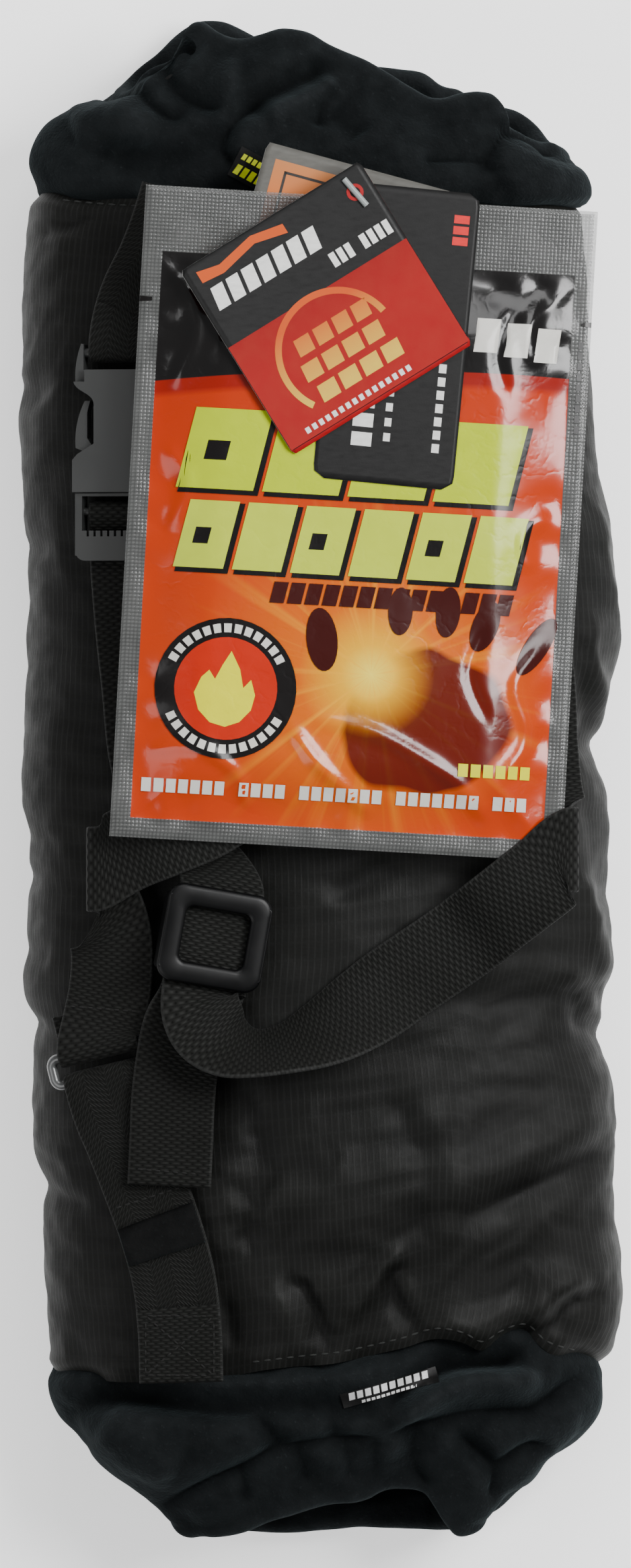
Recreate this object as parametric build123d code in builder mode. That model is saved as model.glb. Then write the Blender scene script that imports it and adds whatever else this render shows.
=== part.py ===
from build123d import *
import os
from math import atan, cos, hypot, radians, sin, sqrt

# Hand warmer muff lying on its back, with its waist belt bundled on the front,
# a heat pack held under the belt, and hang tags on a plastic pin.
# +X is across the muff, +Y along the hand tunnel, +Z up from the surface it lies on.
# The origin is on that surface, under the middle of the muff. Lengths are millimetres.

# ---- driving dimensions: padded tube -----------------------------------------------------
BODY_HALF_WIDTH = 89.0
BODY_HEIGHT = 72.0
SIDE_RADIUS = 32.0
SEAM_Y = 174.0  # the shell ends at +SEAM_Y and -SEAM_Y, where the cuffs are sewn on
LAYER_GAP = 0.2
SHELL = 1.2
INSULATION = 6.6
LINING = 2.6
CUFF_WALL = 4.0
CUFF_HEM = 12.0
ELASTIC = 1.3
POCKET_GAP = 6.0
POCKET_WALL = 1.6
POCKET_WIDTH = 94.0
POCKET_BOTTOM = -62.0
POCKET_TOP = 60.0

# ---- driving dimensions: belt ------------------------------------------------------------
WEBBING_WIDTH = 25.0
WEBBING = 1.4
HALF_WEB = WEBBING / 2
CLEAR = 0.3  # between the webbing and the hard parts that it passes

BUCKLE_X = -54.7
BUCKLE_MID = 5.2  # the buckle's middle plane above the shell
BUCKLE_HALF_THICKNESS = 4.8
SOCKET_HALF_WIDTH = 16.8
SOCKET_MOUTH_Y = 85.6
SOCKET_RING_Y = 96.8
SOCKET_BLOCK_Y = 113.0
SOCKET_TOP_Y = 121.5
SOCKET_BAR_Y = 126.5
PLUG_HALF_WIDTH = 16.2
PLUG_BOTTOM_Y = 65.5
PLUG_BASE_Y = 84.4
PLUG_BAR_Y = 79.9
LOCK_BAR_Y = 74.3
RAIL = 2.1
ARM_PIVOT_U = 11.9
ARM_PIVOT_Y = 88.9
ARM_ROOT = 1.7

GLIDE_X = -30.6
GLIDE_Y = -45.0
GLIDE_TURN = -10.0
GLIDE_TILT = 9.0
GLIDE_HEIGHT = 9.4
GLIDE_HALF_WIDTH = 16.2
GLIDE_HALF_LENGTH = 14.2

RING_X = -63.2
RING_Y = -81.6
RING_TURN = 14.0
RING_HEIGHT = 3.6
RING_BAR = 1.5  # radius of the ring's round bar
RING_LENGTH = 34.0
RING_BAR_SPACING = 8.0
SEWN_END = 12.0
SECOND_FOLD_X = -65.2
SECOND_FOLD_Y = -25.0
TAPE = 0.8

# ---- driving dimensions: heat pack and tags ----------------------------------------------
STACK_TILT = 4.8  # the packet and the tags lie on one plane, its right side lower
STACK_Z = 82.8  # height of that plane over the middle of the muff
FILM = 0.4
PACKET_WIDTH = 132.8
PACKET_LENGTH = 190.6
PACKET_X = 10.4
PACKET_Y = 76.2
PACKET_TURN = -3.25
PAD_WIDTH = 96.0
PAD_LENGTH = 128.0
PAD = 4.4
PIN_X = 10.0
PIN_Y = 172.7
CARD = 0.5
FRONT_TAG = 61.6
INSULATION_TAG_WIDTH = 41.2
INSULATION_TAG_LENGTH = 87.0
INFO_CARD_WIDTH = 56.0
INFO_CARD_LENGTH = 90.0

os.makedirs("parts", exist_ok=True)


def finish(part, name):
    """Label one finished piece and write it."""
    part.label = name
    export_step(part, f"parts/{name}.step")


# ---- the shell's cross-section, and heights on it ----------------------------------------
def crown_radius(half_width, height, side_radius):
    """Radius of the arc across the top that runs tangent into both side arcs."""
    flat = half_width - side_radius
    rise = height - side_radius
    return (flat**2 + rise**2 - side_radius**2) / (2 * (height - 2 * side_radius))


def tube_section(half_width, height, side_radius, lift=0.0, middle=0.0):
    """Flat bottom, two round sides and a low crown, as a face."""
    flat = half_width - side_radius
    crown = crown_radius(half_width, height, side_radius)
    centre = height - crown
    reach = hypot(flat, side_radius - centre)
    shoulder_x = flat / reach * crown
    shoulder_z = centre + (side_radius - centre) / reach * crown
    with BuildSketch() as section:
        with BuildLine():
            Line((-flat, 0), (flat, 0))
            ThreePointArc((flat, 0), (half_width, side_radius), (shoulder_x, shoulder_z))
            ThreePointArc((shoulder_x, shoulder_z), (0, height), (-shoulder_x, shoulder_z))
            ThreePointArc((-shoulder_x, shoulder_z), (-half_width, side_radius), (-flat, 0))
        make_face()
    return section.sketch.moved(Location((middle, lift, 0)))


def body_section(inset):
    """The body's cross-section, moved in by inset all round."""
    return tube_section(
        BODY_HALF_WIDTH - inset, BODY_HEIGHT - 2 * inset, SIDE_RADIUS - inset, lift=inset
    )


def tube_wall(outer_inset, inner_inset, y_low, y_high):
    """The layer of the body between two insets."""
    with BuildPart() as wall:
        with BuildSketch(Plane.XZ.offset(-y_high)):
            add(body_section(outer_inset))
            add(body_section(inner_inset), mode=Mode.SUBTRACT)
        extrude(amount=y_high - y_low)
    return wall.part


CROWN = crown_radius(BODY_HALF_WIDTH, BODY_HEIGHT, SIDE_RADIUS)
CROWN_CENTRE = BODY_HEIGHT - CROWN
SIDE_CENTRE = BODY_HALF_WIDTH - SIDE_RADIUS
SHOULDER = SIDE_CENTRE / hypot(SIDE_CENTRE, SIDE_RADIUS - CROWN_CENTRE) * CROWN


def top_z(x):
    """Height of the shell's upper surface."""
    if abs(x) <= SHOULDER:
        return CROWN_CENTRE + sqrt(CROWN**2 - x**2)
    return SIDE_RADIUS + sqrt(SIDE_RADIUS**2 - (abs(x) - SIDE_CENTRE) ** 2)


def top_slope(x):
    """Rise of the shell's upper surface per unit of X."""
    if abs(x) <= SHOULDER:
        return -x / sqrt(CROWN**2 - x**2)
    beyond = abs(x) - SIDE_CENTRE
    return (-1 if x > 0 else 1) * beyond / sqrt(SIDE_RADIUS**2 - beyond**2)


# ---- muff: shell, insulation, lining, pocket ---------------------------------------------
insulation_inset = SHELL + LAYER_GAP
lining_inset = insulation_inset + INSULATION + LAYER_GAP
hollow_inset = lining_inset + LINING
side_seam = Plane.XY.offset(SIDE_RADIUS)

with BuildPart() as front_panel:
    add(tube_wall(0, SHELL, -SEAM_Y, SEAM_Y))
    split(bisect_by=side_seam, keep=Keep.TOP)
finish(front_panel.part, "front_panel")

with BuildPart() as back_panel:
    add(tube_wall(0, SHELL, -SEAM_Y, SEAM_Y))
    split(bisect_by=side_seam, keep=Keep.BOTTOM)
finish(back_panel.part, "back_panel")

with BuildPart() as insulation_layer:
    add(tube_wall(insulation_inset, insulation_inset + INSULATION, -SEAM_Y + 2, SEAM_Y - 2))
finish(insulation_layer.part, "insulation_layer")

with BuildPart() as fleece_lining:
    add(tube_wall(lining_inset, hollow_inset, -SEAM_Y, SEAM_Y))
finish(fleece_lining.part, "fleece_lining")

pocket_outer = hollow_inset + LAYER_GAP
pocket_inner = pocket_outer + POCKET_GAP + POCKET_WALL


def pocket_form(inner_inset, y_low, y_high, width):
    """A patch against the upper side of the lining, reaching in to inner_inset."""
    with BuildPart() as patch:
        add(tube_wall(pocket_outer, inner_inset, y_low, y_high))
        with BuildSketch(Plane.XY.offset(BODY_HEIGHT / 2)):
            Rectangle(width, 2 * SEAM_Y)
        extrude(amount=BODY_HEIGHT / 2, mode=Mode.INTERSECT)
    return patch.part


with BuildPart() as inner_pocket:
    add(pocket_form(pocket_inner, POCKET_BOTTOM, POCKET_TOP, POCKET_WIDTH))
    space_width = POCKET_WIDTH - 2 * POCKET_WALL
    space = pocket_form(pocket_inner - POCKET_WALL, POCKET_BOTTOM + POCKET_WALL, SEAM_Y, space_width)
    add(space, mode=Mode.SUBTRACT)
finish(inner_pocket.part, "inner_pocket")


# ---- cuffs and their elastic -------------------------------------------------------------
def cuff_planes(side, waist_y, mouth_y, mouth_turn, mouth_x):
    """Planes of a cuff's seam, waist and mouth hem, all facing away from the body."""
    seam = Plane(origin=(0, side * (SEAM_Y + LAYER_GAP), 0), x_dir=(-side, 0, 0), z_dir=(0, side, 0))
    waist = Plane(origin=(0, side * waist_y, 0), x_dir=(-side, 0, 0), z_dir=(0, side, 0))
    outward = Vector(0, side, 0).rotate(Axis.Z, mouth_turn)
    across = Vector(-side, 0, 0).rotate(Axis.Z, mouth_turn)
    hem = Plane(origin=Vector(mouth_x, side * mouth_y, 0) - outward * CUFF_HEM, x_dir=across, z_dir=outward)
    return seam, waist, hem


def cuff_form(planes, waist, mouth, inset):
    """Closed form of a cuff, moved in by inset: a loft to the hem, then a straight hem."""
    sizes = [(86.0, 69.0, 30.0, 1.0), waist, mouth]
    with BuildPart() as form:
        for plane, (half_width, height, side_radius, lift) in zip(planes, sizes):
            with BuildSketch(plane):
                add(tube_section(half_width - inset, height - 2 * inset, side_radius - inset, lift + inset))
        loft(ruled=True)
        with BuildSketch(planes[2]):
            half_width, height, side_radius, lift = mouth
            add(tube_section(half_width - inset, height - 2 * inset, side_radius - inset, lift + inset))
        extrude(amount=CUFF_HEM)
    return form.part


def hem_band(plane, mouth, outer, inner, setback):
    """A straight band inside the hem, from setback to the mouth."""
    half_width, height, side_radius, lift = mouth
    with BuildPart() as band_part:
        with BuildSketch(plane.offset(setback)):
            add(tube_section(half_width - outer, height - 2 * outer, side_radius - outer, lift + outer))
            add(
                tube_section(half_width - inner, height - 2 * inner, side_radius - inner, lift + inner),
                mode=Mode.SUBTRACT,
            )
        extrude(amount=CUFF_HEM - setback)
    return band_part.part


cuffs = {
    "top_cuff": (cuff_planes(1, 192.0, 214.8, -9.0, 3.0), (79.0, 66.0, 29.0, 3.0), (64.0, 52.0, 22.0, 9.0)),
    "bottom_cuff": (cuff_planes(-1, 198.0, 223.1, 2.0, 3.0), (70.0, 62.0, 28.0, 5.0), (49.0, 46.0, 20.0, 12.0)),
}
for name, (planes, waist, mouth) in cuffs.items():
    with BuildPart() as cuff:
        add(cuff_form(planes, waist, mouth, 0))
        add(cuff_form(planes, waist, mouth, CUFF_WALL), mode=Mode.SUBTRACT)
        add(hem_band(planes[2], mouth, 1.2, 1.2 + ELASTIC + 0.3, 1.0), mode=Mode.SUBTRACT)
    finish(cuff.part, name)

    with BuildPart() as elastic:
        add(hem_band(planes[2], mouth, 1.35, 1.35 + ELASTIC, 1.4))
    finish(elastic.part, f"{name}_elastic")


# ---- webbing: strips ruled between stations ----------------------------------------------
def unit(vector):
    return vector * (1 / vector.length)


def band(stations, thickness=WEBBING, first_ahead=None, last_ahead=None):
    """A flat strip through stations of (centre, direction across, width)."""
    centres = [station[0] for station in stations]
    last = len(stations) - 1
    with BuildPart() as strip:
        for index, (centre, across, width) in enumerate(stations):
            ahead = Vector(0, 0, 0)
            if index > 0:
                ahead += unit(centre - centres[index - 1])
            if index < last:
                ahead += unit(centres[index + 1] - centre)
            if index == 0 and first_ahead:
                ahead = first_ahead
            if index == last and last_ahead:
                ahead = last_ahead
            ahead = unit(ahead - across * ahead.dot(across))
            with BuildSketch(Plane(origin=centre, x_dir=across, z_dir=ahead)):
                Rectangle(width, thickness)
        loft(ruled=True)
    return strip.part


def laid(route, width=WEBBING_WIDTH):
    """Stations over the shell from (x, y, height above the shell, roll or None).

    The direction across points to the right of travel. It follows the shell,
    or rises by roll degrees from the horizontal."""
    stations = []
    for index, (x, y, height, roll) in enumerate(route):
        x_back, y_back = route[max(index - 1, 0)][:2]
        x_next, y_next = route[min(index + 1, len(route) - 1)][:2]
        travel = hypot(x_next - x_back, y_next - y_back)
        right = Vector((y_next - y_back) / travel, (x_back - x_next) / travel, 0)
        if roll is None:
            across = unit(right + Vector(0, 0, top_slope(x) * right.X))
        else:
            across = right * cos(radians(roll)) + Vector(0, 0, sin(radians(roll)))
        stations.append((Vector(x, y, top_z(x) + height), across, width))
    return stations


def wrap(plane, centre, radius, start, stop, across, steps=6, width=WEBBING_WIDTH):
    """Stations round a bar along the plane's X, from the angle start to stop.

    Angles are measured in the plane's YZ, from its normal towards its -Y."""
    stations = []
    for step in range(steps + 1):
        angle = radians(start + (stop - start) * step / steps)
        local = Vector(centre[0], centre[1] - radius * sin(angle), radius * cos(angle))
        stations.append((plane.from_local_coords(local), across, width))
    return stations


# ---- buckle: side-release, with a ladder lock on the plug --------------------------------
buckle_tilt = atan(top_slope(BUCKLE_X))
buckle_plane = Plane(
    origin=(BUCKLE_X, 0, top_z(BUCKLE_X) + BUCKLE_MID),
    x_dir=(cos(buckle_tilt), 0, sin(buckle_tilt)),
    z_dir=(-sin(buckle_tilt), 0, cos(buckle_tilt)),
)
buckle_across = Vector(buckle_plane.x_dir)

with BuildPart() as buckle_socket:
    with BuildSketch(buckle_plane.offset(-BUCKLE_HALF_THICKNESS)):
        with BuildLine():
            Polyline(
                (0, SOCKET_MOUTH_Y),
                (SOCKET_HALF_WIDTH, SOCKET_MOUTH_Y),
                (SOCKET_HALF_WIDTH, 95.0),
                (SOCKET_HALF_WIDTH - 1.6, SOCKET_RING_Y),
                (10.3, SOCKET_RING_Y + 3.0),
            )
            Line((10.3, SOCKET_RING_Y + 3.0), (10.3, 110.5))
            Spline((10.3, 110.5), (11.2, 113.4), (14.2, 115.4), (16.3, 117.6))
            Spline((16.3, 117.6), (16.3, 122.0), (15.6, 126.0), (14.6, 129.2))
            Polyline((14.6, 129.2), (13.9, 129.0), (13.9, SOCKET_TOP_Y), (0, SOCKET_TOP_Y))
            mirror(about=Plane.YZ)
        make_face()
    extrude(amount=2 * BUCKLE_HALF_THICKNESS)
    cavity_half = 2.7
    with BuildSketch(buckle_plane.offset(-cavity_half)):
        with Locations((0, (SOCKET_MOUTH_Y + SOCKET_BLOCK_Y) / 2)):
            Rectangle(29.4, SOCKET_BLOCK_Y - SOCKET_MOUTH_Y)
        with Locations((0, (SOCKET_RING_Y + SOCKET_BLOCK_Y) / 2)):
            Rectangle(40.0, SOCKET_BLOCK_Y - SOCKET_RING_Y)
    extrude(amount=2 * cavity_half, mode=Mode.SUBTRACT)
    for u in (-15.1, 15.1):
        with BuildSketch(buckle_plane.offset(2.6)):
            with Locations((u, 124.0)):
                Rectangle(4.0, 12.0)
        extrude(amount=3.0, mode=Mode.SUBTRACT)
        with BuildSketch(buckle_plane.offset(-5.6)):
            with Locations((u, 124.0)):
                Rectangle(4.0, 12.0)
        extrude(amount=3.0, mode=Mode.SUBTRACT)
    with BuildSketch(Plane(origin=buckle_plane.from_local_coords((-14.6, SOCKET_BAR_Y, 0)),
                           x_dir=(0, 1, 0), z_dir=buckle_plane.x_dir)):
        Circle(1.4)
    extrude(amount=29.2)
finish(buckle_socket.part, "buckle_socket")

with BuildPart() as buckle_plug:
    # rails and the base that carries the arms
    with BuildSketch(buckle_plane.offset(-2.3)):
        with Locations((0, (PLUG_BASE_Y + 89.0) / 2)):
            Rectangle(28.4, 89.0 - PLUG_BASE_Y)
        with Locations((0, 97.0)):
            Rectangle(5.0, 18.0)
    extrude(amount=4.6)
    with BuildSketch(buckle_plane.offset(-3.0)):
        for side in (-1, 1):
            with Locations((side * (PLUG_HALF_WIDTH - RAIL / 2), (67.0 + 85.2) / 2)):
                Rectangle(RAIL, 85.2 - 67.0)
        with Locations((0, (PLUG_BASE_Y + 85.2) / 2)):
            Rectangle(2 * PLUG_HALF_WIDTH, 85.2 - PLUG_BASE_Y)
    extrude(amount=6.6)
    # lock bar: a plate with a toothed edge over the webbing
    with BuildSketch(buckle_plane.offset(0.8)):
        with Locations((0, (PLUG_BOTTOM_Y + LOCK_BAR_Y) / 2)):
            RectangleRounded(2 * PLUG_HALF_WIDTH, LOCK_BAR_Y - PLUG_BOTTOM_Y, 3.0)
        with Locations((0, LOCK_BAR_Y - 2)):
            Rectangle(2 * PLUG_HALF_WIDTH, 4.0)
        with Locations((0, LOCK_BAR_Y)):
            with GridLocations(2.06, 1, 13, 1):
                Rectangle(0.7, 3.4, mode=Mode.SUBTRACT)
    extrude(amount=2.8)
    # bar that the webbing turns round
    with BuildSketch(Plane(origin=buckle_plane.from_local_coords((-15.0, PLUG_BAR_Y, 0)),
                           x_dir=(0, 1, 0), z_dir=buckle_plane.x_dir)):
        Circle(1.3)
    extrude(amount=30.0)
    # round recesses for the roots of the arms
    with BuildSketch(buckle_plane.offset(-3.0)):
        with Locations((-ARM_PIVOT_U, ARM_PIVOT_Y), (ARM_PIVOT_U, ARM_PIVOT_Y)):
            Circle(ARM_ROOT + 0.2)
    extrude(amount=6.0, mode=Mode.SUBTRACT)
finish(buckle_plug.part, "buckle_plug")

for side, name in ((-1, "plug_arm_left"), (1, "plug_arm_right")):
    with BuildPart() as arm:
        with BuildSketch(buckle_plane.offset(-2.2)):
            with Locations((side * ARM_PIVOT_U, ARM_PIVOT_Y)):
                Circle(ARM_ROOT)
            with BuildLine():
                Polyline(
                    (side * 10.9, ARM_PIVOT_Y),
                    (side * 10.9, 98.5),
                    (side * 12.9, 101.5),
                    (side * 12.9, 109.0),
                    (side * 12.0, 112.4),
                    (side * 13.6, 112.4),
                )
                ThreePointArc((side * 13.6, 112.4), (side * 15.9, 106.0), (side * 16.4, 98.6))
                Polyline(
                    (side * 16.4, 98.6),
                    (side * 13.2, 97.3),
                    (side * 13.0, ARM_PIVOT_Y),
                    (side * 10.9, ARM_PIVOT_Y),
                )
            make_face()
        extrude(amount=4.4)
    finish(arm.part, name)

# ---- belt: one long webbing, in three lengths that meet end to end -----------------------
turn_radius = 1.3 + CLEAR + HALF_WEB
glide_across = Vector(
    cos(radians(GLIDE_TURN)) * cos(radians(GLIDE_TILT)),
    sin(radians(GLIDE_TURN)) * cos(radians(GLIDE_TILT)),
    -sin(radians(GLIDE_TILT)),
)
glide_ahead = Vector(sin(radians(GLIDE_TURN)), -cos(radians(GLIDE_TURN)), 0)
glide_plane = Plane(
    origin=(GLIDE_X, GLIDE_Y, top_z(GLIDE_X) + GLIDE_HEIGHT),
    x_dir=glide_across,
    z_dir=glide_across.cross(-glide_ahead),
)


def through_glide(level):
    """Two stations, before and after the tri-glide, on a level of its own frame."""
    return [
        (glide_plane.from_local_coords((0, GLIDE_HALF_LENGTH + 1.5, level)), -glide_across, WEBBING_WIDTH),
        (glide_plane.from_local_coords((0, -GLIDE_HALF_LENGTH - 1.5, level)), -glide_across, WEBBING_WIDTH),
    ]


def buckle_station(y, level):
    """A station across the buckle, on a level of its own frame, for webbing that runs to -Y."""
    return (buckle_plane.from_local_coords((0, y, level)), -buckle_across, WEBBING_WIDTH)


upper_level = -0.2
lower_level = upper_level - WEBBING - 0.35
with BuildPart() as belt_main:
    route = wrap(buckle_plane, (0, PLUG_BAR_Y), turn_radius, -90, 0, -buckle_across, steps=4)
    route += [buckle_station(LOCK_BAR_Y, upper_level), buckle_station(PLUG_BOTTOM_Y, upper_level)]
    route += laid([
        (-53.6, 50, 4.8, None),
        (-51.5, 30, 4.6, None),
        (-49.0, 8, 5.2, None),
        (-43.0, -12, 6.8, None),
    ])
    route += through_glide(-0.8)
    route += laid([
        (-34.0, -66.5, 12.6, 16),
        (-31.0, -72.5, 13.4, 24),
        (-25.5, -77.0, 13.0, 44),
        (-18.5, -78.8, 12.4, 58),
        (-9.5, -77.5, 11.8, 56),
        (0.5, -73.5, 9.4, 40),
        (12.0, -66.5, 6.0, 18),
        (24.4, -57.8, 3.4, None),
        (43.8, -44.4, 5.4, None),
    ])
    over = laid([(52.0, -38.0, 11.6, -6), (60.1, -31.7, 15.8, -3), (67.5, -25.8, 18.0, 0)])
    route += over
    fold_top = Vector(73.6, -19.2, top_z(67.5) + 18.0)
    route.append((fold_top, Vector(0, -1, 0), 31.0))
    add(band(route, first_ahead=Vector(buckle_plane.z_dir), last_ahead=Vector(1, 0, 0)))
finish(belt_main.part, "belt_main")

with BuildPart() as belt_tail:
    route = wrap(buckle_plane, (0, PLUG_BAR_Y), turn_radius, -90, -180, -buckle_across, steps=4)
    route += [buckle_station(LOCK_BAR_Y, lower_level), buckle_station(PLUG_BOTTOM_Y, lower_level)]
    route += laid([
        (-53.6, 50, 2.6, None),
        (-51.5, 30, 2.4, None),
        (-49.0, 8, 3.0, None),
        (-43.0, -12, 4.6, None),
    ])
    route += through_glide(-2.6)
    route += laid([
        (-38.0, -69.0, 8.0, 6),
        (-40.8, -79.0, 8.2, None),
        (-42.4, -91.0, 8.0, None),
        (-43.0, -104.0, 7.2, None),
        (-43.6, -117.8, 6.8, None),
    ])
    add(band(route, first_ahead=-Vector(buckle_plane.z_dir)))
finish(belt_tail.part, "belt_tail")

# ---- tri-glide: a frame over the webbing and a bar under it ------------------------------
with BuildPart() as tri_glide:
    with BuildSketch(glide_plane.offset(-5.0)):
        for side in (-1, 1):
            with Locations((side * (GLIDE_HALF_WIDTH - 1.4), 0)):
                Rectangle(2.8, 2 * GLIDE_HALF_LENGTH)
    extrude(amount=7.2)
    with BuildSketch(glide_plane.offset(0.3)):
        RectangleRounded(2 * GLIDE_HALF_WIDTH, 2 * GLIDE_HALF_LENGTH, 2.4)
        Rectangle(2 * GLIDE_HALF_WIDTH - 5.6, 2 * GLIDE_HALF_LENGTH - 11.6, mode=Mode.SUBTRACT)
    extrude(amount=1.9)
    with BuildSketch(glide_plane.offset(-5.0)):
        Rectangle(2 * GLIDE_HALF_WIDTH, 5.0)
    extrude(amount=1.4)
    fillet(tri_glide.edges().filter_by(Axis(origin=(0, 0, 0), direction=tuple(glide_plane.z_dir))).group_by(
        SortBy.LENGTH)[-1], radius=1.0)
finish(tri_glide.part, "tri_glide")

# ---- ring ---------------------------------------------------------------------------------
ring_slope = atan(top_slope(RING_X)) * cos(radians(RING_TURN))
ring_across = Vector(
    cos(radians(RING_TURN)) * cos(ring_slope), sin(radians(RING_TURN)) * cos(ring_slope), sin(ring_slope)
)
ring_ahead = Vector(sin(radians(RING_TURN)), -cos(radians(RING_TURN)), 0)
ring_plane = Plane(
    origin=(RING_X, RING_Y, top_z(RING_X) + RING_HEIGHT),
    x_dir=ring_across,
    z_dir=ring_across.cross(-ring_ahead),
)
with BuildSketch(ring_plane) as ring_outline:
    RectangleRounded(RING_LENGTH - 2 * RING_BAR, RING_BAR_SPACING, 2.4)
ring_path = ring_outline.sketch.face().outer_wire()
with BuildPart() as belt_ring:
    with BuildSketch(Plane(origin=ring_path @ 0, z_dir=ring_path % 0)):
        Circle(RING_BAR)
    sweep(path=ring_path)
finish(belt_ring.part, "belt_ring")

# ---- belt, from the fold under the packet to the ring ------------------------------------
ring_radius = RING_BAR + CLEAR + HALF_WEB
fold_radius = 2.0
fold_bottom = fold_top - Vector(0, 0, 2 * fold_radius)
second_fold = Vector(SECOND_FOLD_X, SECOND_FOLD_Y, top_z(-57.5) + 12.0)
with BuildPart() as belt_return:
    route = []
    for step in range(7):
        angle = radians(180 * step / 6)
        spot = fold_top + Vector(fold_radius * sin(angle), 0, fold_radius * (cos(angle) - 1))
        route.append((spot, Vector(0, -1, 0), 31.0))
    route.append((fold_bottom + Vector(-3.5, 1.5, -0.8), unit(Vector(-0.35, -1, 0)), 30.0))
    under = laid([
        (66.0, -4.0, 9.0, None),
        (64.4, 9.0, 7.0, None),
        (63.5, 28.0, 4.2, None),
        (61.0, 48.0, 2.6, None),
        (52.5, 68.0, 1.8, None),
        (38.0, 81.5, 1.6, None),
        (20.0, 86.0, 1.6, None),
        (3.0, 80.5, 1.6, None),
        (-7.5, 66.0, 1.6, None),
        (-9.5, 48.0, 1.8, None),
        (-9.5, 28.0, 2.6, None),
        (-13.0, 10.0, 5.0, None),
        (-21.5, -1.5, 9.4, None),
        (-33.5, -10.0, 12.4, -6),
        (-46.0, -15.2, 14.4, -6),
        (-57.5, -20.0, 13.6, -4),
    ])
    route += [(spot, -across, width) for spot, across, width in under]
    # second fold, at the left, where the webbing turns down to the ring
    for step in range(7):
        angle = radians(180 * step / 6)
        spot = second_fold + Vector(-fold_radius * sin(angle), 0, fold_radius * (cos(angle) - 1))
        route.append((spot, Vector(0, -1, 0), 26.0))
    route.append((Vector(-62.0, -37.0, top_z(-62.0) + 7.6), unit(Vector(-0.6, -0.8, -0.1)), 25.0))
    route += laid([(-60.5, -50.0, 5.8, None), (-61.0, -60.0, 5.2, None), (-63.0, -70.0, 5.6, None)])
    upper_bar = (0, RING_BAR_SPACING / 2)
    route += wrap(ring_plane, upper_bar, ring_radius, 0, 180, -ring_across)
    end = ring_plane.from_local_coords((0, RING_BAR_SPACING / 2 + SEWN_END, -ring_radius))
    route.append((end, -ring_across, WEBBING_WIDTH))
    add(band(route, first_ahead=Vector(1, 0, 0)))
finish(belt_return.part, "belt_return")

# ---- strap from the upper seam to the socket ---------------------------------------------
with BuildPart() as upper_strap:
    route = laid([
        (-39.8, 173.4, 1.4, None),
        (-42.8, 163.5, 1.8, None),
        (-46.9, 153.0, 3.0, None),
        (-51.8, 143.0, 5.4, None),
        (-54.3, 135.0, 7.2, None),
    ])
    route[0] = (route[0][0], unit(Vector(-1, 0, -top_slope(-39.8))), WEBBING_WIDTH)
    socket_bar_radius = 1.4 + CLEAR + HALF_WEB
    route += wrap(buckle_plane, (0, SOCKET_BAR_Y), socket_bar_radius, 0, 180, -buckle_across)
    route.append(buckle_station(SOCKET_BAR_Y + 7.0, -socket_bar_radius))
    add(band(route))
finish(upper_strap.part, "upper_strap")

# ---- tab: sewn at the lower seam, through the ring, closed on itself ---------------------
tab_line = [
    (-40.1, -173.4),
    (-40.6, -160.0),
    (-42.2, -146.0),
    (-46.2, -131.0),
    (-51.2, -117.0),
    (-56.4, -104.0),
]


def tab_layer(height, low_y, high_y):
    """Stations along the tab, up the page, between two Y, at one height."""
    spots = [(x, y, height, None) for x, y in tab_line if low_y <= y <= high_y]
    return laid(spots)


base_height = 1.2
loop_height = base_height + HALF_WEB + 0.15 + TAPE / 2
hook_height = loop_height + TAPE + 0.2
leg_height = hook_height + TAPE / 2 + 0.15 + HALF_WEB
with BuildPart() as tab_webbing:
    route = tab_layer(base_height, -180, -100)
    route += laid([(-60.0, -95.0, base_height, None), (-61.6, -90.0, base_height, None)])
    lower_bar = (0, -RING_BAR_SPACING / 2)
    route += wrap(ring_plane, lower_bar, ring_radius, 180, 360, ring_across)
    back = laid([(-60.0, -95.5, leg_height + 0.6, None), (-56.4, -104.0, leg_height, None),
                 (-51.2, -117.0, leg_height, None), (-47.6, -126.5, leg_height, None)])
    route += [(spot, -across, width) for spot, across, width in back]
    add(band(route))
finish(tab_webbing.part, "tab_webbing")

with BuildPart() as tab_loop_tape:
    add(band(laid([(-44.5, -136.0, loop_height, None), (-51.2, -117.0, loop_height, None),
                   (-56.4, -104.0, loop_height, None), (-58.0, -100.0, loop_height, None)], width=24.0), TAPE))
finish(tab_loop_tape.part, "tab_loop_tape")

with BuildPart() as tab_hook_tape:
    add(band(laid([(-48.0, -125.5, hook_height, None), (-51.2, -117.0, hook_height, None),
                   (-56.4, -104.0, hook_height, None)], width=24.0), TAPE))
finish(tab_hook_tape.part, "tab_hook_tape")

with BuildPart() as tab_reinforcement:
    add(band(laid([(-40.1, -173.4, base_height + 1.5, None), (-40.6, -160.0, base_height + 1.5, None),
                   (-41.2, -154.0, base_height + 1.5, None)]), 1.2))
finish(tab_reinforcement.part, "tab_reinforcement")

# ---- heat pack and tags, all on one tilted plane -----------------------------------------
stack_base = Plane(
    origin=(0, 0, STACK_Z),
    x_dir=(cos(radians(STACK_TILT)), 0, -sin(radians(STACK_TILT))),
    z_dir=(sin(radians(STACK_TILT)), 0, cos(radians(STACK_TILT))),
)


def stack_plane(x, y, turn, level):
    """A plane over (x, y), turned about the stack's normal, at a level above its base."""
    origin = stack_base.from_local_coords((x / cos(radians(STACK_TILT)), y, level))
    x_dir = Vector(stack_base.x_dir) * cos(radians(turn)) + Vector(stack_base.y_dir) * sin(radians(turn))
    return Plane(origin=origin, x_dir=x_dir, z_dir=stack_base.z_dir)


def pin_hole(level, radius):
    """A disc round the tag pin, for cutting its hole."""
    with BuildPart() as disc:
        with BuildSketch(stack_plane(PIN_X, PIN_Y, 0, level - 1)):
            Circle(radius)
        extrude(amount=CARD + 2)
    return disc.part


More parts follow.
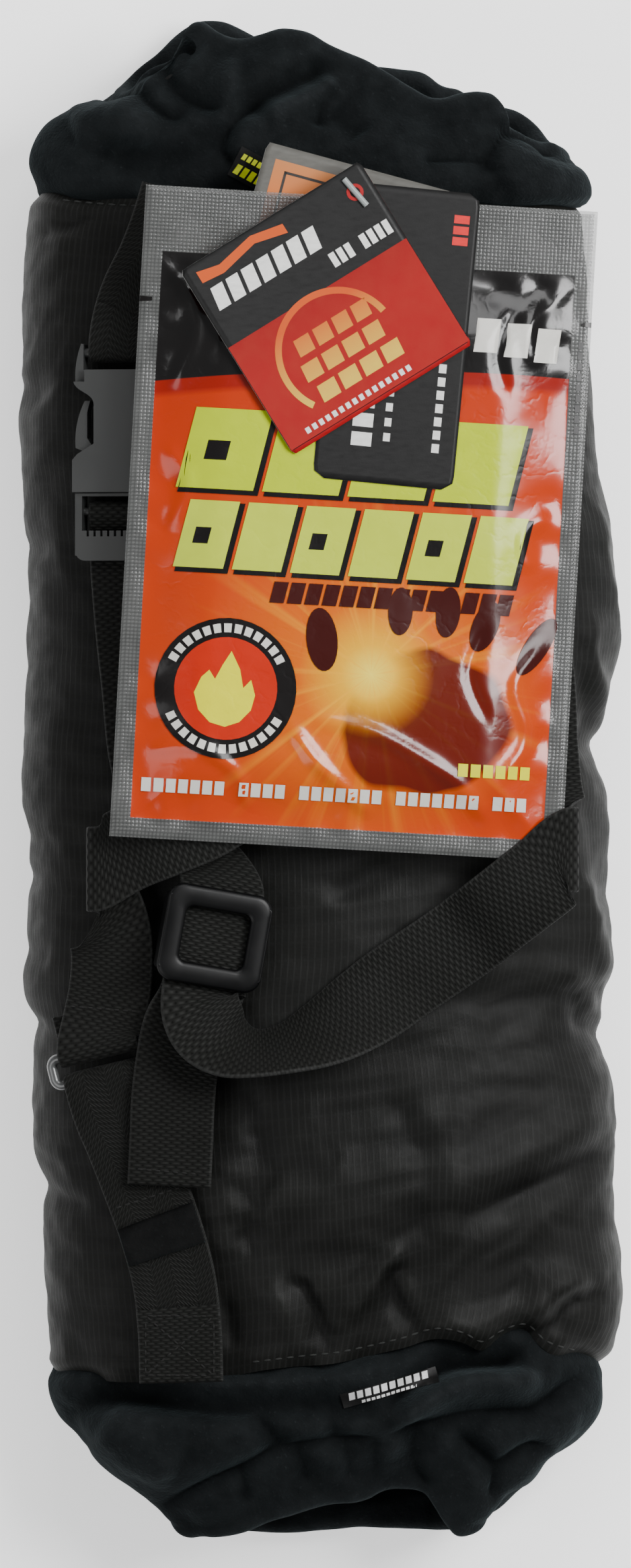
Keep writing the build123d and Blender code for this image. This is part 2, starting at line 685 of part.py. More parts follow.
with BuildPart() as packet_back_film:
    with BuildSketch(stack_plane(PACKET_X, PACKET_Y, PACKET_TURN, 0)):
        Rectangle(PACKET_WIDTH, PACKET_LENGTH)
    extrude(amount=FILM)
finish(packet_back_film.part, "packet_back_film")

pocket_slope = 30
dome_width = PAD_WIDTH + 12
dome_length = PAD_LENGTH + 12
dome_height = PAD + 0.9
with BuildPart() as packet_front_film:
    with BuildSketch(stack_plane(PACKET_X, PACKET_Y, PACKET_TURN, FILM + 0.1)):
        Rectangle(PACKET_WIDTH, PACKET_LENGTH)
    extrude(amount=FILM)
    with BuildSketch(stack_plane(PACKET_X, PACKET_Y - 6, PACKET_TURN, FILM + 0.1)):
        RectangleRounded(dome_width, dome_length, 12)
    extrude(amount=dome_height, taper=pocket_slope)
    with BuildSketch(stack_plane(PACKET_X, PACKET_Y - 6, PACKET_TURN, FILM + 0.1)):
        RectangleRounded(dome_width - 1.2, dome_length - 1.2, 11.4)
    extrude(amount=dome_height - FILM, taper=pocket_slope, mode=Mode.SUBTRACT)
finish(packet_front_film.part, "packet_front_film")

with BuildPart() as heat_pad:
    with BuildSketch(stack_plane(PACKET_X, PACKET_Y - 6, PACKET_TURN, FILM + 0.15)):
        RectangleRounded(PAD_WIDTH, PAD_LENGTH, 8)
    extrude(amount=PAD - 0.2)
finish(heat_pad.part, "heat_pad")

info_level = -0.9
insulation_level = FILM + 0.1 + dome_height + 0.4
leaf_level = insulation_level + CARD + 0.4
cover_level = leaf_level + CARD + 0.15
with BuildPart() as info_card:
    with BuildSketch(stack_plane(0.6, 137.1, -15.0, info_level)):
        RectangleRounded(INFO_CARD_WIDTH, INFO_CARD_LENGTH, 0.8)
    extrude(amount=CARD)
    add(pin_hole(info_level, 2.4), mode=Mode.SUBTRACT)
finish(info_card.part, "info_card")

with BuildPart() as insulation_tag:
    with BuildSketch(stack_plane(22.3, 130.9, -5.5, insulation_level)):
        RectangleRounded(INSULATION_TAG_WIDTH, INSULATION_TAG_LENGTH, 3.2)
    extrude(amount=CARD)
    add(pin_hole(insulation_level, 1.8), mode=Mode.SUBTRACT)
finish(insulation_tag.part, "insulation_tag")

for name, level, drop in (("front_tag_leaf", leaf_level, 1.5), ("front_tag_cover", cover_level, 0.0)):
    with BuildPart() as leaf:
        with BuildSketch(stack_plane(1.3, 139.4, 31.8, level)):
            with Locations((drop / 2, -drop / 2)):
                Rectangle(FRONT_TAG, FRONT_TAG)
        extrude(amount=CARD)
        add(pin_hole(level, 2.4), mode=Mode.SUBTRACT)
    finish(leaf.part, name)

pin_top = cover_level + CARD + 0.4
with BuildPart() as tag_pin:
    with BuildSketch(stack_plane(PIN_X, PIN_Y, 0, info_level - 1.4)):
        Circle(0.5)
    extrude(amount=pin_top + 0.9 - info_level + 1.4)
    with BuildSketch(stack_plane(PIN_X, PIN_Y, 0, info_level - 2.2)):
        RectangleRounded(6.0, 2.4, 1.1)
    extrude(amount=1.0)
    bar_plane = stack_plane(PIN_X, PIN_Y, -49.0, pin_top + 0.9)
    bar_start = bar_plane.from_local_coords((-5.1, 0, 0))
    with BuildSketch(Plane(origin=bar_start, z_dir=bar_plane.x_dir)):
        Circle(0.9)
    extrude(amount=10.2)
finish(tag_pin.part, "tag_pin")

# ---- woven labels, sewn at the cuffs -----------------------------------------------------
LABEL = 0.5
with BuildPart() as maker_label:
    with BuildSketch(Plane(origin=(-19.5, 181.0, 70.6), x_dir=(1, 0, 0.08), z_dir=(-0.08, 0.02, 1))):
        Rectangle(12.0, 10.0)
    extrude(amount=LABEL)
finish(maker_label.part, "maker_label")

with BuildPart() as insulation_label:
    with BuildSketch(Plane(origin=(21.0, -179.5, 70.4), x_dir=(1, 0, -0.09), z_dir=(0.09, -0.03, 1))):
        Rectangle(29.0, 9.0)
    extrude(amount=LABEL)
finish(insulation_label.part, "insulation_label")
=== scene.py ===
"""Hand warmer muff: nylon shell, fleece cuffs, webbing belt, heat pack and hang tags.

Lengths in this script are millimetres in the frame of the CAD part, and MM turns them into metres.
"""

import math

import bpy
import numpy as np
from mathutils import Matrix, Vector, kdtree, noise
from mathutils.bvhtree import BVHTree


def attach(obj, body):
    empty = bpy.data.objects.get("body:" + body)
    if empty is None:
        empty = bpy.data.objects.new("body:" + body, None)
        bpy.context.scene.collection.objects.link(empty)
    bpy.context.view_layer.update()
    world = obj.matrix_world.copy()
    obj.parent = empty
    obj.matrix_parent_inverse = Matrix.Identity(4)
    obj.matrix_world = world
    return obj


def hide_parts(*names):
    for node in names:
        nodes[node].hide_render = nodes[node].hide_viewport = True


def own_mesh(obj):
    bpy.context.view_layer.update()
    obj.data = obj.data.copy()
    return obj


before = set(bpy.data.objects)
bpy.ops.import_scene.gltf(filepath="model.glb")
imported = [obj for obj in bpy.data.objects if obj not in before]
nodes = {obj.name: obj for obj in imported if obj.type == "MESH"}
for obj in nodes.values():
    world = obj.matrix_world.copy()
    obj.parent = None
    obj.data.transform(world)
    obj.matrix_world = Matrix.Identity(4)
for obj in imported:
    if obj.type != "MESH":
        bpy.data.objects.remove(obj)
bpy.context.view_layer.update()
MM = 0.001

# ---- sizes that repeat the CAD part's driving dimensions ---------------------------------
BODY_HALF_WIDTH = 89.0
BODY_HEIGHT = 72.0
SIDE_RADIUS = 32.0
WEBBING_WIDTH = 25.0
WEBBING = 1.4
STACK_TILT = math.radians(4.8)
STACK_Z = 82.8
PACKET = (132.8, 190.6)
PACKET_PLACE = (10.4, 76.2, -3.25)  # x, y and turn in degrees
SEAL = 5.8  # width of the packet's welded border
PIN = (10.0, 172.7)
RING_BAR = 1.5
FOLD_RADIUS = 2.0


# ---- numbers along lines -----------------------------------------------------------------
def ease(value):
    """0 to 1, smooth at both ends."""
    value = np.clip(value, 0.0, 1.0)
    return value * value * (3 - 2 * value)


def hermite(stops, values, at):
    """Smooth curve through values, given at rising stops, read at the places in at."""
    slopes = np.gradient(values, stops, axis=0)
    index = np.clip(np.searchsorted(stops, at) - 1, 0, len(stops) - 2)
    step = stops[index + 1] - stops[index]
    part = (at - stops[index]) / step
    if values.ndim > 1:
        step = step[:, None]
        part = part[:, None]
    low, high = values[index], values[index + 1]
    return (
        low * (2 * part**3 - 3 * part**2 + 1)
        + high * (3 * part**2 - 2 * part**3)
        + slopes[index] * step * (part**3 - 2 * part**2 + part)
        + slopes[index + 1] * step * (part**3 - part**2)
    )


def through(points, count):
    """A smooth line through points, as count evenly spread points."""
    points = np.asarray(points, float)
    run = np.concatenate([[0], np.cumsum(np.linalg.norm(np.diff(points, axis=0), axis=1))])
    return hermite(run, points, np.linspace(0, run[-1], count))


def read(table, at):
    """Value at a place, from a table of (place, value) in rising order, held at its ends."""
    table = np.asarray(table, float)
    shape = np.shape(at)
    flat = np.clip(np.ravel(at), table[0, 0], table[-1, 0])
    return hermite(table[:, 0], table[:, 1], flat).reshape(shape)


def distance_to(line, x, y):
    """How far points are from a line, and where along it they are, from 0 to 1."""
    start = line[:-1]
    run = line[1:] - start
    from_x = x[..., None] - start[:, 0]
    from_y = y[..., None] - start[:, 1]
    part = np.clip((from_x * run[:, 0] + from_y * run[:, 1]) / (run**2).sum(1), 0, 1)
    apart = np.hypot(from_x - part * run[:, 0], from_y - part * run[:, 1])
    nearest = apart.argmin(-1)
    along = (nearest + np.take_along_axis(part, nearest[..., None], -1)[..., 0]) / len(run)
    return apart.min(-1), along


def folds(entries, x, y):
    """Sum of folds over the plane. Each is (points, width, height), and True for a sharp one.

    A valley's height is negative.
    """
    total = np.zeros(np.shape(x))
    for points, width, height, *sharp in entries:
        line = through(points, 24)
        apart, along = distance_to(line, x, y)
        shape = np.exp(-apart / width) if sharp else np.exp(-((apart / width) ** 2))
        ends = ease(along / 0.22 + 0.25) * ease((1 - along) / 0.22 + 0.25)
        total += height * shape * ends
    return total


def wobble(points, size, seed):
    """Smooth noise from -1 to 1 over an array of points, with features of that size."""
    flat = points.reshape(-1, 3) / size
    shift = Vector((seed * 7.3, seed * 3.1, seed * 5.7))
    values = [noise.noise(Vector(p) + shift) for p in flat]
    return np.array(values).reshape(points.shape[:-1]) * 1.6


# ---- the tube's cross-section ------------------------------------------------------------
def crown_of(half_width, height, side_radius):
    flat = half_width - side_radius
    rise = height - side_radius
    return (flat**2 + rise**2 - side_radius**2) / (2 * (height - 2 * side_radius))


CROWN = crown_of(BODY_HALF_WIDTH, BODY_HEIGHT, SIDE_RADIUS)
CROWN_CENTRE = BODY_HEIGHT - CROWN
SIDE_CENTRE = BODY_HALF_WIDTH - SIDE_RADIUS
SHOULDER = SIDE_CENTRE / math.hypot(SIDE_CENTRE, SIDE_RADIUS - CROWN_CENTRE) * CROWN


def top_z(x):
    """Height of the CAD shell's upper surface."""
    x = np.asarray(x, float)
    beyond = np.clip(np.abs(x) - SIDE_CENTRE, 0, SIDE_RADIUS)
    crown = CROWN_CENTRE + np.sqrt(CROWN**2 - x**2)
    side = SIDE_RADIUS + np.sqrt(SIDE_RADIUS**2 - beyond**2)
    return np.where(np.abs(x) <= SHOULDER, crown, side)


def top_slope(x):
    return float(top_z(x + 0.01) - top_z(x - 0.01)) / 0.02


def spread(points, count, closed=False):
    """Points spaced evenly along a polyline."""
    run = np.concatenate([[0], np.cumsum(np.linalg.norm(np.diff(points, axis=0), axis=1))])
    at = np.linspace(0, run[-1], count, endpoint=not closed)
    return np.stack([np.interp(at, run, points[:, k]) for k in range(points.shape[1])], 1)


def section(half_width, height, side_radius, over, under):
    """The tube's cross-section: over points across the top from the left, then under points back below."""
    flat = half_width - side_radius
    crown = crown_of(half_width, height, side_radius)
    centre = height - crown
    tip = math.atan2(flat, side_radius - centre)

    def arc(x, z, radius, start, stop):
        turn = np.linspace(start, stop, 40)
        return np.stack([x + radius * np.cos(turn), z + radius * np.sin(turn)], 1)

    quarter = math.pi / 2
    top = np.concatenate([
        arc(-flat, side_radius, side_radius, math.pi, quarter + tip),
        arc(0, centre, crown, quarter + tip, quarter - tip),
        arc(flat, side_radius, side_radius, quarter - tip, 0),
    ])
    bottom = np.concatenate([
        arc(flat, side_radius, side_radius, 0, -quarter),
        arc(-flat, side_radius, side_radius, -quarter, -math.pi),
    ])
    return np.concatenate([spread(top, over + 1)[:-1], spread(bottom, under + 1)[:-1]])


def outward(grid):
    """Unit normals of a grid whose columns close round the tube, outward where its rows run up Y."""
    across = np.roll(grid, -1, 1) - np.roll(grid, 1, 1)
    along = np.gradient(grid, axis=0)
    normal = np.cross(across, along)
    return normal / np.maximum(np.linalg.norm(normal, axis=2, keepdims=True), 1e-9)


# ---- meshes ------------------------------------------------------------------------------
def make_mesh(name, vertices, faces, uv=None, smooth=True):
    """An object from vertices in millimetres, faces, and a UV for each corner in millimetres."""
    mesh = bpy.data.meshes.new(name)
    mesh.from_pydata((np.asarray(vertices, float) * MM).tolist(), [], faces)
    if uv is not None:
        layer = mesh.uv_layers.new(name="UVMap")
        layer.data.foreach_set("uv", (np.asarray(uv, float) * MM).ravel())
    mesh.polygons.foreach_set("use_smooth", [smooth] * len(mesh.polygons))
    mesh.update()
    made = bpy.data.objects.new(name, mesh)
    bpy.context.scene.collection.objects.link(made)
    return made


def add_relief(made, grid, depth, passes=36):
    """Store how far each point stands above or below its smoothed surroundings, from 0 to 1."""
    smooth = grid.copy()
    for _ in range(passes):
        ends = np.concatenate([smooth[:1], smooth, smooth[-1:]])
        around = np.roll(smooth, 1, 1) + np.roll(smooth, -1, 1) + ends[:-2] + ends[2:]
        smooth = smooth * 0.2 + around * 0.2
    normal = outward(grid)
    side = np.sign((normal * (grid - grid.mean((0, 1)))).sum())
    stand = ((grid - smooth) * normal).sum(2) * side
    layer = made.data.attributes.new("relief", "FLOAT", "POINT")
    layer.data.foreach_set("value", np.clip(0.5 + stand / depth, 0, 1).ravel())


def make_grid(name, grid, closed=False, uv=None, flip=False, caps=False):
    """An object from rows and columns of points. closed joins the last column to the first."""
    rows, columns = grid.shape[:2]
    if uv is None:
        lengths = np.linalg.norm(np.diff(grid, axis=1, append=grid[:, :1]), axis=2)
        across = np.concatenate([np.zeros((rows, 1)), np.cumsum(lengths, 1)], 1)
        steps = np.linalg.norm(np.diff(grid, axis=0), axis=2).mean(1)
        along = np.concatenate([[0], np.cumsum(steps)])
        uv = np.stack([np.tile(across.mean(0), (rows, 1)), np.tile(along[:, None], (1, columns + 1))], 2)
    faces = []
    corners = []
    for row in range(rows - 1):
        for column in range(columns if closed else columns - 1):
            ring = [(row, column), (row, column + 1), (row + 1, column + 1), (row + 1, column)]
            if flip:
                ring.reverse()
            faces.append([r * columns + c % columns for r, c in ring])
            corners += [uv[r, c] for r, c in ring]
    if caps:
        for row, turn in ((0, 1), (rows - 1, -1)):
            ring = list(range(columns))[::turn] if flip else list(range(columns))[::-turn]
            faces.append([row * columns + c for c in ring])
            corners += [uv[row, c] for c in ring]
    return make_mesh(name, grid.reshape(-1, 3), faces, corners)


def points_of(made):
    """Vertex positions in millimetres."""
    flat = np.zeros(len(made.data.vertices) * 3)
    made.data.vertices.foreach_get("co", flat)
    return flat.reshape(-1, 3) / MM


def set_points(made, points):
    made.data.vertices.foreach_set("co", (points * MM).ravel())
    made.data.update()


def paint(made, *materials):
    made.data.materials.clear()
    for one in materials:
        made.data.materials.append(one)
    return made


def place(made, body, slot, *replaced):
    """The piece rides on a body and stands for CAD nodes, which it hides; slot is not used."""
    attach(made, body)
    if replaced:
        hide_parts(*replaced)
    return made


def finer(made, levels=1):
    """Subdivide the mesh, and keep the result."""
    modifier = made.modifiers.new("finer", "SUBSURF")
    modifier.levels = levels
    modifier.render_levels = levels
    bake(made)


def bake(made):
    """Apply what the modifiers do to the mesh."""
    evaluated = made.evaluated_get(bpy.context.evaluated_depsgraph_get())
    mesh = bpy.data.meshes.new_from_object(evaluated)
    made.modifiers.clear()
    made.data = mesh


# ---- materials ---------------------------------------------------------------------------
class Surface:
    """A material and short ways to add nodes to it."""

    def __init__(self, name, colour, roughness, **sockets):
        self.material = bpy.data.materials.new(name)
        self.material.use_nodes = True
        self.tree = self.material.node_tree
        self.shader = self.tree.nodes["Principled BSDF"]
        self.shader.inputs["Base Color"].default_value = (*colour, 1)
        self.shader.inputs["Roughness"].default_value = roughness
        for socket, value in sockets.items():
            self.shader.inputs[socket.replace("_", " ")].default_value = value

    def node(self, kind, inputs=None, **settings):
        made = self.tree.nodes.new(kind)
        for key, value in settings.items():
            setattr(made, key, value)
        for key, value in (inputs or {}).items():
            self.feed(made.inputs[key], value)
        return made

    def feed(self, socket, value):
        if isinstance(value, bpy.types.NodeSocket):
            self.tree.links.new(value, socket)
        else:
            socket.default_value = value

    def calc(self, operation, *values, clamp=False):
        inputs = dict(enumerate(values))
        return self.node("ShaderNodeMath", inputs, operation=operation, use_clamp=clamp).outputs[0]

    def times(self, a, b):
        return self.calc("MULTIPLY", a, b)

    def plus(self, a, b):
        return self.calc("ADD", a, b)

    def minus(self, a, b):
        return self.calc("SUBTRACT", a, b)

    def place(self):
        """Position in the frame, in metres."""
        return self.node("ShaderNodeTexCoord").outputs["Object"]

    def uv(self):
        """The two UV numbers, in metres."""
        split = self.node("ShaderNodeSeparateXYZ", {0: self.node("ShaderNodeTexCoord").outputs["UV"]})
        return split.outputs[0], split.outputs[1]

    def noise(self, size, detail=2.0, where=None, stretch=None):
        """Noise from 0 to 1 with features of a size in millimetres."""
        where = where or self.place()
        if stretch:
            where = self.node("ShaderNodeMapping", {"Vector": where, "Scale": stretch}).outputs[0]
        inputs = {"Vector": where, "Scale": 1000.0 / size, "Detail": detail}
        return self.node("ShaderNodeTexNoise", inputs).outputs["Fac"]

    def ramp(self, value, *stops):
        """Colours or greys at stops of (place, colour)."""
        made = self.node("ShaderNodeValToRGB", {"Fac": value})
        elements = made.color_ramp.elements
        while len(elements) < len(stops):
            elements.new(0.5)
        for element, (position, colour) in zip(elements, stops):
            element.position = position
            element.color = (*colour, 1) if hasattr(colour, "__len__") else (colour, colour, colour, 1)
        return made.outputs["Color"]

    def mix(self, factor, first, second, blend="MIX"):
        made = self.node("ShaderNodeMix", data_type="RGBA", blend_type=blend)
        self.feed(made.inputs[0], factor)
        for socket, value in ((made.inputs[6], first), (made.inputs[7], second)):
            self.feed(socket, value if isinstance(value, bpy.types.NodeSocket) else (*value, 1))
        return made.outputs[2]

    def bump(self, height, distance, strength=1.0, over=None):
        """Bump of a height from 0 to 1 that stands for distance in millimetres."""
        made = self.node("ShaderNodeBump",
                         {"Height": height, "Distance": distance * MM, "Strength": strength})
        if over:
            self.feed(made.inputs["Normal"], over)
        self.feed(self.shader.inputs["Normal"], made.outputs[0])
        return made.outputs[0]

    def colour(self, value):
        self.feed(self.shader.inputs["Base Color"], value)

    def shaded_by_relief(self, colour, low, high):
        """Colour with painted shade in the mesh's valleys and painted highlight on its crests, by those
        shares.
        """
        relief = self.node("ShaderNodeAttribute", attribute_name="relief").outputs["Fac"]
        share = self.calc("MULTIPLY_ADD", relief, high - low, low)
        return self.mix(1.0, colour,
                        self.node("ShaderNodeCombineColor", {0: share, 1: share, 2: share}).outputs[0],
                        blend="MULTIPLY")

    def rough(self, value):
        self.feed(self.shader.inputs["Roughness"], value)

    def wave(self, value, pitch, power=1.0):
        """Half-wave ribs of a pitch in millimetres, from 0 to 1."""
        ribs = self.calc("ABSOLUTE", self.calc("SINE", self.times(value, math.pi / (pitch * MM))))
        return self.calc("POWER", ribs, power)


def ripstop_nylon():
    """Plain weave with a doubled thread every few millimetres."""
    look = Surface("ripstop_nylon", (0.005, 0.0052, 0.005), 0.5, Sheen_Weight=0.03, Sheen_Roughness=0.35)
    look.shader.inputs["Sheen Tint"].default_value = (0.62, 0.68, 0.62, 1)
    look.shader.inputs["Specular IOR Level"].default_value = 0.11
    u, v = look.uv()
    thread = look.plus(look.wave(u, 0.42), look.wave(v, 0.42))
    rib_u = look.wave(u, 1.9, 10.0)
    rib_v = look.wave(v, 5.2, 26.0)
    ribs = look.calc("MAXIMUM", rib_u, look.times(rib_v, 0.45))
    patches = look.noise(34, 3)
    crinkle = look.noise(7, 4)
    streak = look.noise(5, 2, stretch=(1, 0.08, 1))
    base = look.mix(patches, (0.0027, 0.0028, 0.0024), (0.0055, 0.0057, 0.0050))
    base = look.mix(look.times(ribs, 0.30), base, (0.017, 0.0175, 0.017))
    base = look.mix(look.times(streak, 0.25), base, (0.010, 0.0102, 0.010))
    # painted shade in the wrinkles' valleys and painted highlight on their crests, from the stored relief
    look.colour(look.shaded_by_relief(base, 0.5, 1.5))
    look.rough(look.ramp(crinkle, (0.3, 0.46), (0.75, 0.62)))
    soft = look.bump(crinkle, 0.35, 0.55)
    woven = look.bump(thread, 0.03, 0.5, soft)
    look.bump(ribs, 0.05, 0.6, woven)
    return look.material


def fleece(name="fleece", tint=(0.0044, 0.0050, 0.0053), relief=False):
    """Napped pile: soft, blotchy, with a pale edge where the fibres stand."""
    look = Surface(name, tint, 0.95, Sheen_Weight=0.07, Sheen_Roughness=0.5)
    look.shader.inputs["Sheen Tint"].default_value = (0.45, 0.58, 0.62, 1)
    look.shader.inputs["Specular IOR Level"].default_value = 0.02
    pile = look.noise(0.9, 3)
    clumps = look.noise(4.5, 4)
    patches = look.noise(22, 2)
    dark = tuple(c * 0.45 for c in tint)
    light = tuple(c * 1.9 for c in tint)
    base = look.mix(clumps, dark, light)
    base = look.mix(look.times(patches, 0.5), base, tint)
    base = look.mix(look.ramp(pile, (0.62, 0.0), (0.8, 0.55)), base, (0.015, 0.017, 0.018))
    # with relief, painted shade in the folds' valleys and painted highlight on their crests
    if relief:
        base = look.shaded_by_relief(base, 0.18, 2.1)
    look.colour(base)
    tufts = look.bump(clumps, 0.9, 0.7)
    look.bump(pile, 0.35, 0.9, tufts)
    return look.material


def webbing(name, pitch, tint=(0.0062, 0.0064, 0.0056), twill=False):
    """Coarse basket weave in rows across the strap, with painted highlight in patches on its high spots and
    along its edges.
    """
    look = Surface(name, tint, 0.68, Sheen_Weight=0.02, Sheen_Roughness=0.4)
    look.shader.inputs["Specular IOR Level"].default_value = 0.08
    u, v = look.uv()
    if twill:
        v = look.plus(v, look.times(look.calc("PINGPONG", u, 0.0063), 1.0))
    warp = look.calc("SINE", look.times(u, math.pi / (pitch * MM)))
    weft = look.calc("SINE", look.times(v, math.pi / (pitch * 0.62 * MM)))
    over = look.calc("MULTIPLY_ADD", look.times(warp, weft), 0.5, 0.5)
    rows = look.calc("ABSOLUTE", weft)
    knots = look.times(look.calc("POWER", over, 0.6), look.calc("MULTIPLY_ADD", rows, 0.6, 0.4))
    edge = look.calc("ABSOLUTE", look.minus(u, WEBBING_WIDTH / 2 * MM))
    rim = look.ramp(look.calc("DIVIDE", edge, WEBBING_WIDTH / 2 * MM), (0.93, 0.0), (0.99, 0.6))
    edge_highlight_breakup = look.noise(1.4, 2)
    knot_highlight = look.times(look.noise(16, 3), knots)
    base = look.mix(knots, tuple(c * 0.35 for c in tint), tuple(c * 1.5 for c in tint))
    # painted highlight in patches on the raised knots
    base = look.mix(look.times(knot_highlight, 0.6), base, (0.022, 0.0225, 0.022))
    # painted highlight along the strap's edges, broken up by noise
    base = look.mix(look.times(rim, edge_highlight_breakup), base, (0.045, 0.046, 0.045))
    look.colour(base)
    look.rough(look.ramp(knots, (0.1, 0.85), (0.9, 0.55)))
    fibres = look.bump(look.noise(0.35, 2, stretch=(1, 0.3, 1)), 0.05, 0.5)
    look.bump(knots, 0.38, 0.9, fibres)
    return look.material


def plastic(name, colour, roughness, grain=0.6, depth=0.03, grain_highlight=0.0, **sockets):
    """Moulded plastic with a fine spark-eroded grain, cloudy patches and pale specks of painted highlight on
    the grain's high points.
    """
    look = Surface(name, colour, roughness, **sockets)
    texture = look.noise(grain, 3)
    clouds = look.noise(14, 3)
    light = tuple(min(1.0, c * 1.25) for c in colour)
    base = look.mix(clouds, tuple(c * 0.85 for c in colour), light)
    # pale specks on the raised grain: painted highlight
    if grain_highlight:
        base = look.mix(look.ramp(texture, (0.64, 0.0), (0.74, grain_highlight)), base,
                        tuple(min(1, c * 2.2) for c in colour))
    look.colour(base)
    look.rough(look.ramp(clouds, (0.3, roughness * 0.85), (0.7, min(1.0, roughness * 1.2))))
    look.bump(texture, depth, 0.8)
    return look.material


def plain_fabric(name, colour, roughness=0.9, size=0.5, depth=0.08):
    """A fine even cloth."""
    look = Surface(name, colour, roughness, Sheen_Weight=0.03, Specular_IOR_Level=0.15)
    grain = look.noise(size, 3)
    look.colour(look.mix(grain, tuple(c * 0.6 for c in colour), tuple(min(1, c * 1.35) for c in colour)))
    look.bump(grain, depth, 0.9)
    return look.material


def film_wrinkles(look, strength=1.0):
    """Soft dents and short creases shared by everything printed on the packet."""
    broad = look.bump(look.noise(16, 2), 0.9, 0.45 * strength)
    creases = look.calc("ABSOLUTE", look.minus(look.noise(9, 3), 0.5))
    return look.bump(look.ramp(creases, (0.0, 0.0), (0.06, 1.0)), 0.10, 0.25 * strength, broad)


def printed(name, colour, roughness=0.24, film=True, coat=0.12):
    """Ink under clear film, or on laminated card."""
    look = Surface(name, colour, roughness, Coat_Weight=coat, Coat_Roughness=0.08, Specular_IOR_Level=0.2)
    ink = look.noise(5, 3)
    look.colour(look.mix(ink, tuple(c * 0.9 for c in colour), tuple(min(1, c * 1.06) for c in colour)))
    if film:
        film_wrinkles(look)
    else:
        look.bump(look.noise(1.2, 2), 0.015, 0.5)
    return look.material


def packet_front():
    """Clear welded border, a black band, and an orange field with a glow, by place on the packet."""
    look = Surface("packet_front", (0.7, 0.1, 0.01), 0.2, Coat_Weight=0.2, Coat_Roughness=0.06,
                   Specular_IOR_Level=0.35)
    u, v = look.uv()
    half_u, half_v = PACKET[0] / 2 * MM, PACKET[1] / 2 * MM
    u = look.minus(u, half_u)
    v = look.minus(v, half_v)

    def step(value, at, soft=0.00025):
        """0 below a place and 1 above it."""
        return look.calc("MULTIPLY_ADD", look.minus(value, at), 1 / soft, 0.5, clamp=True)

    def away(u0, v0, scale=1.0):
        across = look.times(look.minus(u, u0 * MM), scale)
        up = look.minus(v, v0 * MM)
        return look.calc("SQRT", look.plus(look.calc("POWER", across, 2.0), look.calc("POWER", up, 2.0)))

    # the orange field: red round its edge, and yellow towards the glow
    glow = away(7, -44)
    field = look.ramp(
        look.calc("DIVIDE", glow, 0.125),
        (0.0, (0.80, 0.62, 0.07)), (0.07, (0.68, 0.34, 0.006)), (0.17, (0.52, 0.100, 0.0)),
        (0.42, (0.41, 0.032, 0.0)), (1.0, (0.35, 0.014, 0.0)),
    )
    # rays out of the glow
    turn = look.calc(
        "ARCTAN2", look.minus(v, -0.044), look.minus(u, 0.007)
    )
    ray_where = look.node("ShaderNodeCombineXYZ", {0: look.times(turn, 3.1)})
    rays = look.node("ShaderNodeTexNoise",
                     {"Vector": ray_where.outputs[0], "Scale": 2.3, "Detail": 3.0}).outputs[0]
    rays = look.ramp(rays, (0.5, 0.0), (0.72, 1.0))
    reach = look.ramp(look.calc("DIVIDE", glow, 0.06), (0.12, 0.75), (1.0, 0.0))
    field = look.mix(look.times(rays, reach), field, (0.75, 0.36, 0.01))
    # a warm dark shape behind the glow
    shade = look.plus(away(23, -57, 0.86), look.times(look.noise(20, 1), 0.012))
    ember = look.ramp(look.calc("DIVIDE", shade, 0.030), (0.86, 0.94), (0.93, 0.0))
    near = look.ramp(look.calc("DIVIDE", glow, 0.03), (0.22, 0.0), (0.62, 1.0))
    field = look.mix(look.times(ember, near), field, (0.075, 0.001, 0.0006))
    # black band with a dark red line below it; its lower edge rises to the right
    rise = look.times(look.minus(1.0, look.calc("POWER", look.calc(
        "DIVIDE", look.minus(u, 0.045), 0.11), 2.0)), 0.0085)
    edge_v = look.plus(rise, 0.0375)
    below = look.minus(v, edge_v)
    field = look.mix(step(below, -0.0042, 0.002), field, (0.22, 0.006, 0.002))
    field = look.mix(step(below, 0.0), field, (0.004, 0.0035, 0.0035))
    # the printed area ends at the welds
    inside = look.times(step(look.times(look.calc("ABSOLUTE", u), -1.0), -(half_u - SEAL * MM)),
                       look.times(step(v, -half_v + SEAL * MM), step(look.times(v, -1.0), -0.0762)))
    # clear film: embossed grid, milky
    grid = look.times(look.wave(u, 1.1), look.wave(v, 1.1))
    milk = look.mix(look.noise(9, 3), (0.018, 0.019, 0.018), (0.11, 0.113, 0.11))
    milk = look.mix(look.times(grid, 0.5), milk, (0.22, 0.225, 0.22))
    look.colour(look.mix(inside, milk, field))
    look.feed(look.shader.inputs["Alpha"], look.calc("MULTIPLY_ADD", inside, 0.4, 0.6))
    soft = film_wrinkles(look)
    clear = look.minus(1.0, inside)
    look.bump(look.times(grid, clear), 0.09, 0.8, soft)
    return look.material


def clear_film(name, alpha, colour=(0.6, 0.62, 0.62)):
    look = Surface(name, colour, 0.22, Coat_Weight=0.4, Coat_Roughness=0.08)
    look.shader.inputs["Alpha"].default_value = alpha
    streaks = look.noise(6, 3)
    look.colour(look.mix(streaks, tuple(c * 0.75 for c in colour), colour))
    film_wrinkles(look, 0.8)
    return look.material


def card(name, colour, grain=0.5):
    """Matte laminated card with faint scuffs."""
    look = Surface(name, colour, 0.42, Specular_IOR_Level=0.14)
    scuff = look.noise(3, 4, stretch=(1, 3, 1))
    look.colour(look.mix(scuff, tuple(c * 0.8 for c in colour),
                         tuple(min(1, c * 1.2 + 0.004) for c in colour)))
    look.rough(look.ramp(scuff, (0.3, 0.36), (0.7, 0.5)))
    look.bump(look.noise(grain, 2), 0.02, 0.7)
    return look.material


